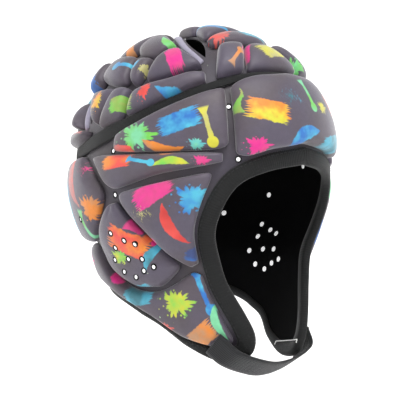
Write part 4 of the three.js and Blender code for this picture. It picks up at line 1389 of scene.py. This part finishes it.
# Perforation rims
# Each perforation has a small black ring round it, and white gauze behind it keeps dirt out: it shows as
# a white dot with a dark rim from outside, and as a plain white dot on the black lining inside. The
# gauze glows a little, which is painted light that keeps the dots bright in the holes.
RIM_RADIUS = HOLE_RADIUS + 0.4 * MM
RIM_WIDTH = 0.9 * MM
RIM_DEPTH = 2.4 * MM
RIM_PROUD = 0.2 * MM
GAUZE_RADIUS = RIM_RADIUS - 0.7 * MM

rims, gauze = bmesh.new(), bmesh.new()


def disc(bm, radius, chart, height, thickness, capped):
    """Short tube or disc square to the head, its outer end at a height."""
    place = turned_to(form_normal(radians(chart[0]), chart[1]), on_head(chart, height - thickness / 2))
    bmesh.ops.create_cone(bm, cap_ends=capped, segments=24, radius1=radius, radius2=radius,
                          depth=thickness, matrix=place)


for chart in HOLES:
    top = hole_tops.get(chart, COVER_HIGH)
    disc(rims, RIM_RADIUS, chart, top + RIM_PROUD, RIM_DEPTH, False)
    disc(gauze, GAUZE_RADIUS, chart, top - 0.1 * MM, 0.3 * MM, True)
    disc(gauze, HOLE_RADIUS, chart, 0.3 * MM, 0.3 * MM, True)
bmesh.ops.recalc_face_normals(rims, faces=rims.faces)
bmesh.ops.solidify(rims, geom=rims.faces[:], thickness=RIM_WIDTH)
bmesh.ops.recalc_face_normals(rims, faces=rims.faces)
for bm in (rims, gauze):
    bm.loops.layers.uv.new("print_map")
black_rim = knitted_cloth("black_rim", LINING_BLACK, 0.6 * MM, 0.05 * MM)
rim_piece = new_piece("perforation_rims", rims, black_rim)
rim_piece.data.set_sharp_from_angle(angle=radians(50))
glowing_gauze_cloth, tree, shader = cloth_material("glowing_white_gauze", 0.9, 0.0, 0.2)
place = node(tree, "TexCoord").outputs["Object"]
mesh_lines = node(tree, "TexVoronoi", {"Vector": place, "Scale": 1600.0}).outputs["Distance"]
between = calc(tree, "MULTIPLY", mesh_lines, 0.4)
tree.links.new(blended(tree, between, (0.95, 0.95, 0.95, 1), (0.6, 0.6, 0.62, 1)),
               shader.inputs["Base Color"])
# Painted light: the gauze glows a little, so the dots stay white deep in the holes.
shader.inputs["Emission Color"].default_value = (1, 1, 1, 1)
shader.inputs["Emission Strength"].default_value = 0.45
gauze_piece = new_piece("perforation_gauze", gauze, glowing_gauze_cloth)
gauze_piece.data.set_sharp_from_angle(angle=radians(50))

# Vent lips
# The cover's raw edges are turned in and sewn along each open vent, which leaves a thin raised lip.
LIP_THICKNESS = 1.8 * MM
VENT_LIPS = {
    "front_vent_lip": {
        "plan": True,
        "rows": [
            row((0.108, -0.05), (0.132, -0.072)),
            row((0.175, 0.02), (0.205, -0.005)),
            row((0.238, 0.085), (0.268, 0.062)),
            row((0.292, 0.16), (0.326, 0.142)),
            row((0.325, 0.238), (0.36, 0.228)),
            row((0.34, 0.3), (0.376, 0.3)),
        ],
    },
    "rear_vent_lip": {
        "plan": True,
        "rows": [
            row((0.7, -0.413), (0.712, -0.44)),
            row((0.63, -0.437), (0.642, -0.468)),
            row((0.56, -0.462), (0.571, -0.493)),
            row((0.49, -0.483), (0.5, -0.515)),
            row((0.43, -0.495), (0.438, -0.528)),
        ],
    },
}

lip_cloth = knitted_cloth("lip_cloth", (0.29, 0.27, 0.35, 1), 0.8 * MM, 0.05 * MM, 0.55, 0.25)
for name, spec in VENT_LIPS.items():
    for side, mirror in (("_right", False), ("_left", True)):
        lip = add_pad(name + side, lip_cloth, crown_map, 0.5, mirror=mirror, seat=CROWN_SEAT, reach=0,
                      thick=1.6 * LIP_THICKNESS / PAD_THICKNESS, **spec)
        rounded = lip.modifiers.new("rounded", "SUBSURF")
        rounded.levels = rounded.render_levels = 1

# Chin strap
# Grey-black ribbed polyester webbing, its cut ends folded under and sewn in a square outside each cheek.
STRAP_WIDTH = 20 * MM
STRAP_THICKNESS = 1.8 * MM
STRAP_CLEARANCE = 0.3 * MM
STRAP_SPRING = 0.9 * MM
STRAP_TILT = 30
STRAP_SAG = 1.8 * MM
CHIN_FORWARD = 65 * MM
CHIN_DROP = 9 * MM
CHEEK_END = (53, 1.828)
CHEEK_LEAVE = (44.6, 1.898)
CHEEK_HEIGHT = 0.66
CAD_PAD_TOP = 3.45 * MM + 7.6 * MM * CHEEK_HEIGHT
WEBBING_GREY = (0.0125, 0.013, 0.0145, 1)


def strap_path():
    lay = CAD_PAD_TOP + STRAP_CLEARANCE + STRAP_THICKNESS / 2
    end = on_head(CHEEK_END, lay)
    leave = on_head(CHEEK_LEAVE, lay + STRAP_SPRING)
    chin = Vector((0, -CHIN_FORWARD, leave.z - CHIN_DROP))
    swing = leave.lerp(chin, 0.5) + Vector((0, -STRAP_SAG, -STRAP_SAG))
    right = [end, leave, swing]
    return right + [chin] + [Vector((-p.x, p.y, p.z)) for p in reversed(right)]


strap_at = even_steps([tuple(p) for p in strap_path()])
up_front = Vector((0, -cos(radians(STRAP_TILT)), sin(radians(STRAP_TILT))))
bm = divided_block(96, 8, 2)
strap_charts = []
for vert in bm.verts:
    share = vert.co.x + 0.5
    place = Vector(strap_at(share))
    along = (Vector(strap_at(min(share + 0.004, 1))) - Vector(strap_at(max(share - 0.004, 0)))).normalized()
    wide = (up_front - along * up_front.dot(along)).normalized()
    out = wide.cross(along)
    strap_charts.append((share, vert.co.y))
    thin = 1 - 0.5 * (abs(vert.co.y) * 2) ** 8
    vert.co = place + wide * (vert.co.y * STRAP_WIDTH) + out * (vert.co.z * thin * STRAP_THICKNESS)
write_map(bm, strap_charts, lambda share, side: (share * 0.2, side * STRAP_WIDTH))
webbing = ribbed_material("webbing", WEBBING_GREY, 1.5 * MM, 0.22 * MM, 0.2, True)
strap = new_piece("chin_webbing", bm, webbing)
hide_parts("chin_strap")


# Stitching
# A white bar of stitches holds the strap's inner end inside each flap, and a row of dark thread runs
# along the binding's inner edge.
STITCH_RADIUS = 0.32 * MM


def stitch_row(bm, points, length, gap, radius=STITCH_RADIUS):
    """Row of single stitches along some points."""
    path = even_steps([tuple(p) for p in points], 600)
    total = sum((Vector(b) - Vector(a)).length for a, b in zip(points, points[1:]))
    count = max(int(total / (length + gap)), 1)
    spare = 0.5 * gap / (length + gap)
    for i in range(count):
        a = Vector(path((i + spare) / count))
        b = Vector(path((i + 1 - spare) / count))
        if (b - a).length < 1e-6:
            continue
        turn = (b - a).to_track_quat("Z", "Y").to_matrix().to_4x4()
        size = Matrix.Diagonal((radius, radius, (b - a).length / 2, 1))
        bmesh.ops.create_uvsphere(bm, u_segments=6, v_segments=4, radius=1,
                                  matrix=Matrix.Translation((a + b) / 2) @ turn @ size)


white_rows = bmesh.new()
for sign in (1, -1):
    chart_a, chart_b = (59.9, 1.888), (27.1, 1.856)
    inner = []
    for i in range(11):
        share = i / 10
        chart = [start + (end - start) * share for start, end in zip(chart_a, chart_b)]
        chart[0] *= sign
        inner.append(on_head(chart, -1.25 * MM))
    stitch_row(white_rows, inner, 1.5 * MM, 0.05 * MM, 0.4 * MM)
    for end, chart in ((inner[0], chart_a), (inner[-1], chart_b)):
        leg = on_head((sign * chart[0], chart[1] + 0.018), -1.25 * MM)
        stitch_row(white_rows, [end, end.lerp(leg, 0.5), leg], 1.2 * MM, 0.05 * MM, 0.4 * MM)
white_rows.loops.layers.uv.new("print_map")
white_thread = knitted_cloth("white_thread", (0.8, 0.8, 0.78, 1), 0.4 * MM, 0.05 * MM, 0.6)
new_piece("bar_stitches", white_rows, white_thread)

dark_rows = bmesh.new()
seam_points = []
for i in range(481):
    around = i / 480 - 0.5
    seam_points.append(on_head(in_from_edge(around, 0.82 * tape_width(around)), 5.2 * MM))
stitch_row(dark_rows, seam_points, 2.4 * MM, 0.8 * MM, 0.26 * MM)
dark_rows.loops.layers.uv.new("print_map")
dark_thread = knitted_cloth("dark_thread", (0.02, 0.02, 0.021, 1), 0.4 * MM, 0.05 * MM, 0.7)
new_piece("seam_stitches", dark_rows, dark_thread)

for tool in (hole_tool, vent_tool):
    bpy.data.objects.remove(tool)

# Studio
# Plain pale floor that curves up into the backdrop, soft light from above and in front, and the camera
# at the photograph's angle.
FLOOR_LEVEL = -0.36
BACKDROP = 2.2
bm = bmesh.new()
bmesh.ops.create_grid(bm, x_segments=60, y_segments=60, size=0.5)
for vert in bm.verts:
    far = Vector((vert.co.x, vert.co.y)) * 9
    beyond = max(far.length - BACKDROP, 0)
    rise = beyond**2 / 1.6 if beyond < 1.2 else 0.9 + (beyond - 1.2) * 1.5
    vert.co = Vector((far.x, far.y, FLOOR_LEVEL + rise))
mesh = bpy.data.meshes.new("floor")
bm.to_mesh(mesh)
bm.free()
mesh.shade_smooth()
floor = bpy.data.objects.new("floor", mesh)
bpy.context.scene.collection.objects.link(floor)
pale, tree, shader = cloth_material("pale_floor", 0.95, 0.0, 0.1)
grain = node(tree, "TexNoise", {"Vector": node(tree, "TexCoord").outputs["Object"], "Scale": 3.0}).outputs[0]
tree.links.new(blended(tree, grain, (0.93, 0.93, 0.93, 1), (0.96, 0.96, 0.96, 1)),
               shader.inputs["Base Color"])
mesh.materials.append(pale)
floor.visible_shadow = False

world = bpy.data.worlds.new("studio")
bpy.context.scene.world = world
world.use_nodes = True
world.node_tree.nodes["Background"].inputs["Color"].default_value = (1, 1, 1, 1)
world.node_tree.nodes["Background"].inputs["Strength"].default_value = 0.36

CAMERA_TARGET = Vector((0, 0, -0.111))
CAMERA_DISTANCE = 1.1


def soft_sun(name, azimuth, elevation, power, softness):
    """Far soft light, from an azimuth in front and a height above the horizon, in degrees."""
    light = bpy.data.lights.new(name, "SUN")
    light.energy = power
    light.angle = radians(softness)
    lamp = bpy.data.objects.new(name, light)
    a, e = radians(azimuth), radians(elevation)
    towards = Vector((sin(a) * cos(e), -cos(a) * cos(e), sin(e)))
    lamp.rotation_mode = "QUATERNION"
    lamp.rotation_quaternion = towards.to_track_quat("Z", "Y")
    bpy.context.scene.collection.objects.link(lamp)


soft_sun("overhead", -30, 66, 3.3, 40)
soft_sun("front", -25, 20, 0.5, 60)
bpy.context.scene.view_settings.view_transform = "Standard"

camera_data = bpy.data.cameras.new("camera")
camera_data.sensor_width = 36
camera_data.lens = 141.6
camera_data.shift_x = -1 / 400
camera = bpy.data.objects.new("camera", camera_data)
bpy.context.scene.collection.objects.link(camera)
AZIMUTH = radians(-45)
camera.location = CAMERA_TARGET + Vector((sin(AZIMUTH), -cos(AZIMUTH), 0)) * CAMERA_DISTANCE
camera.rotation_mode = "QUATERNION"
camera.rotation_quaternion = (CAMERA_TARGET - camera.location).to_track_quat("-Z", "Y")
bpy.context.scene.camera = camera
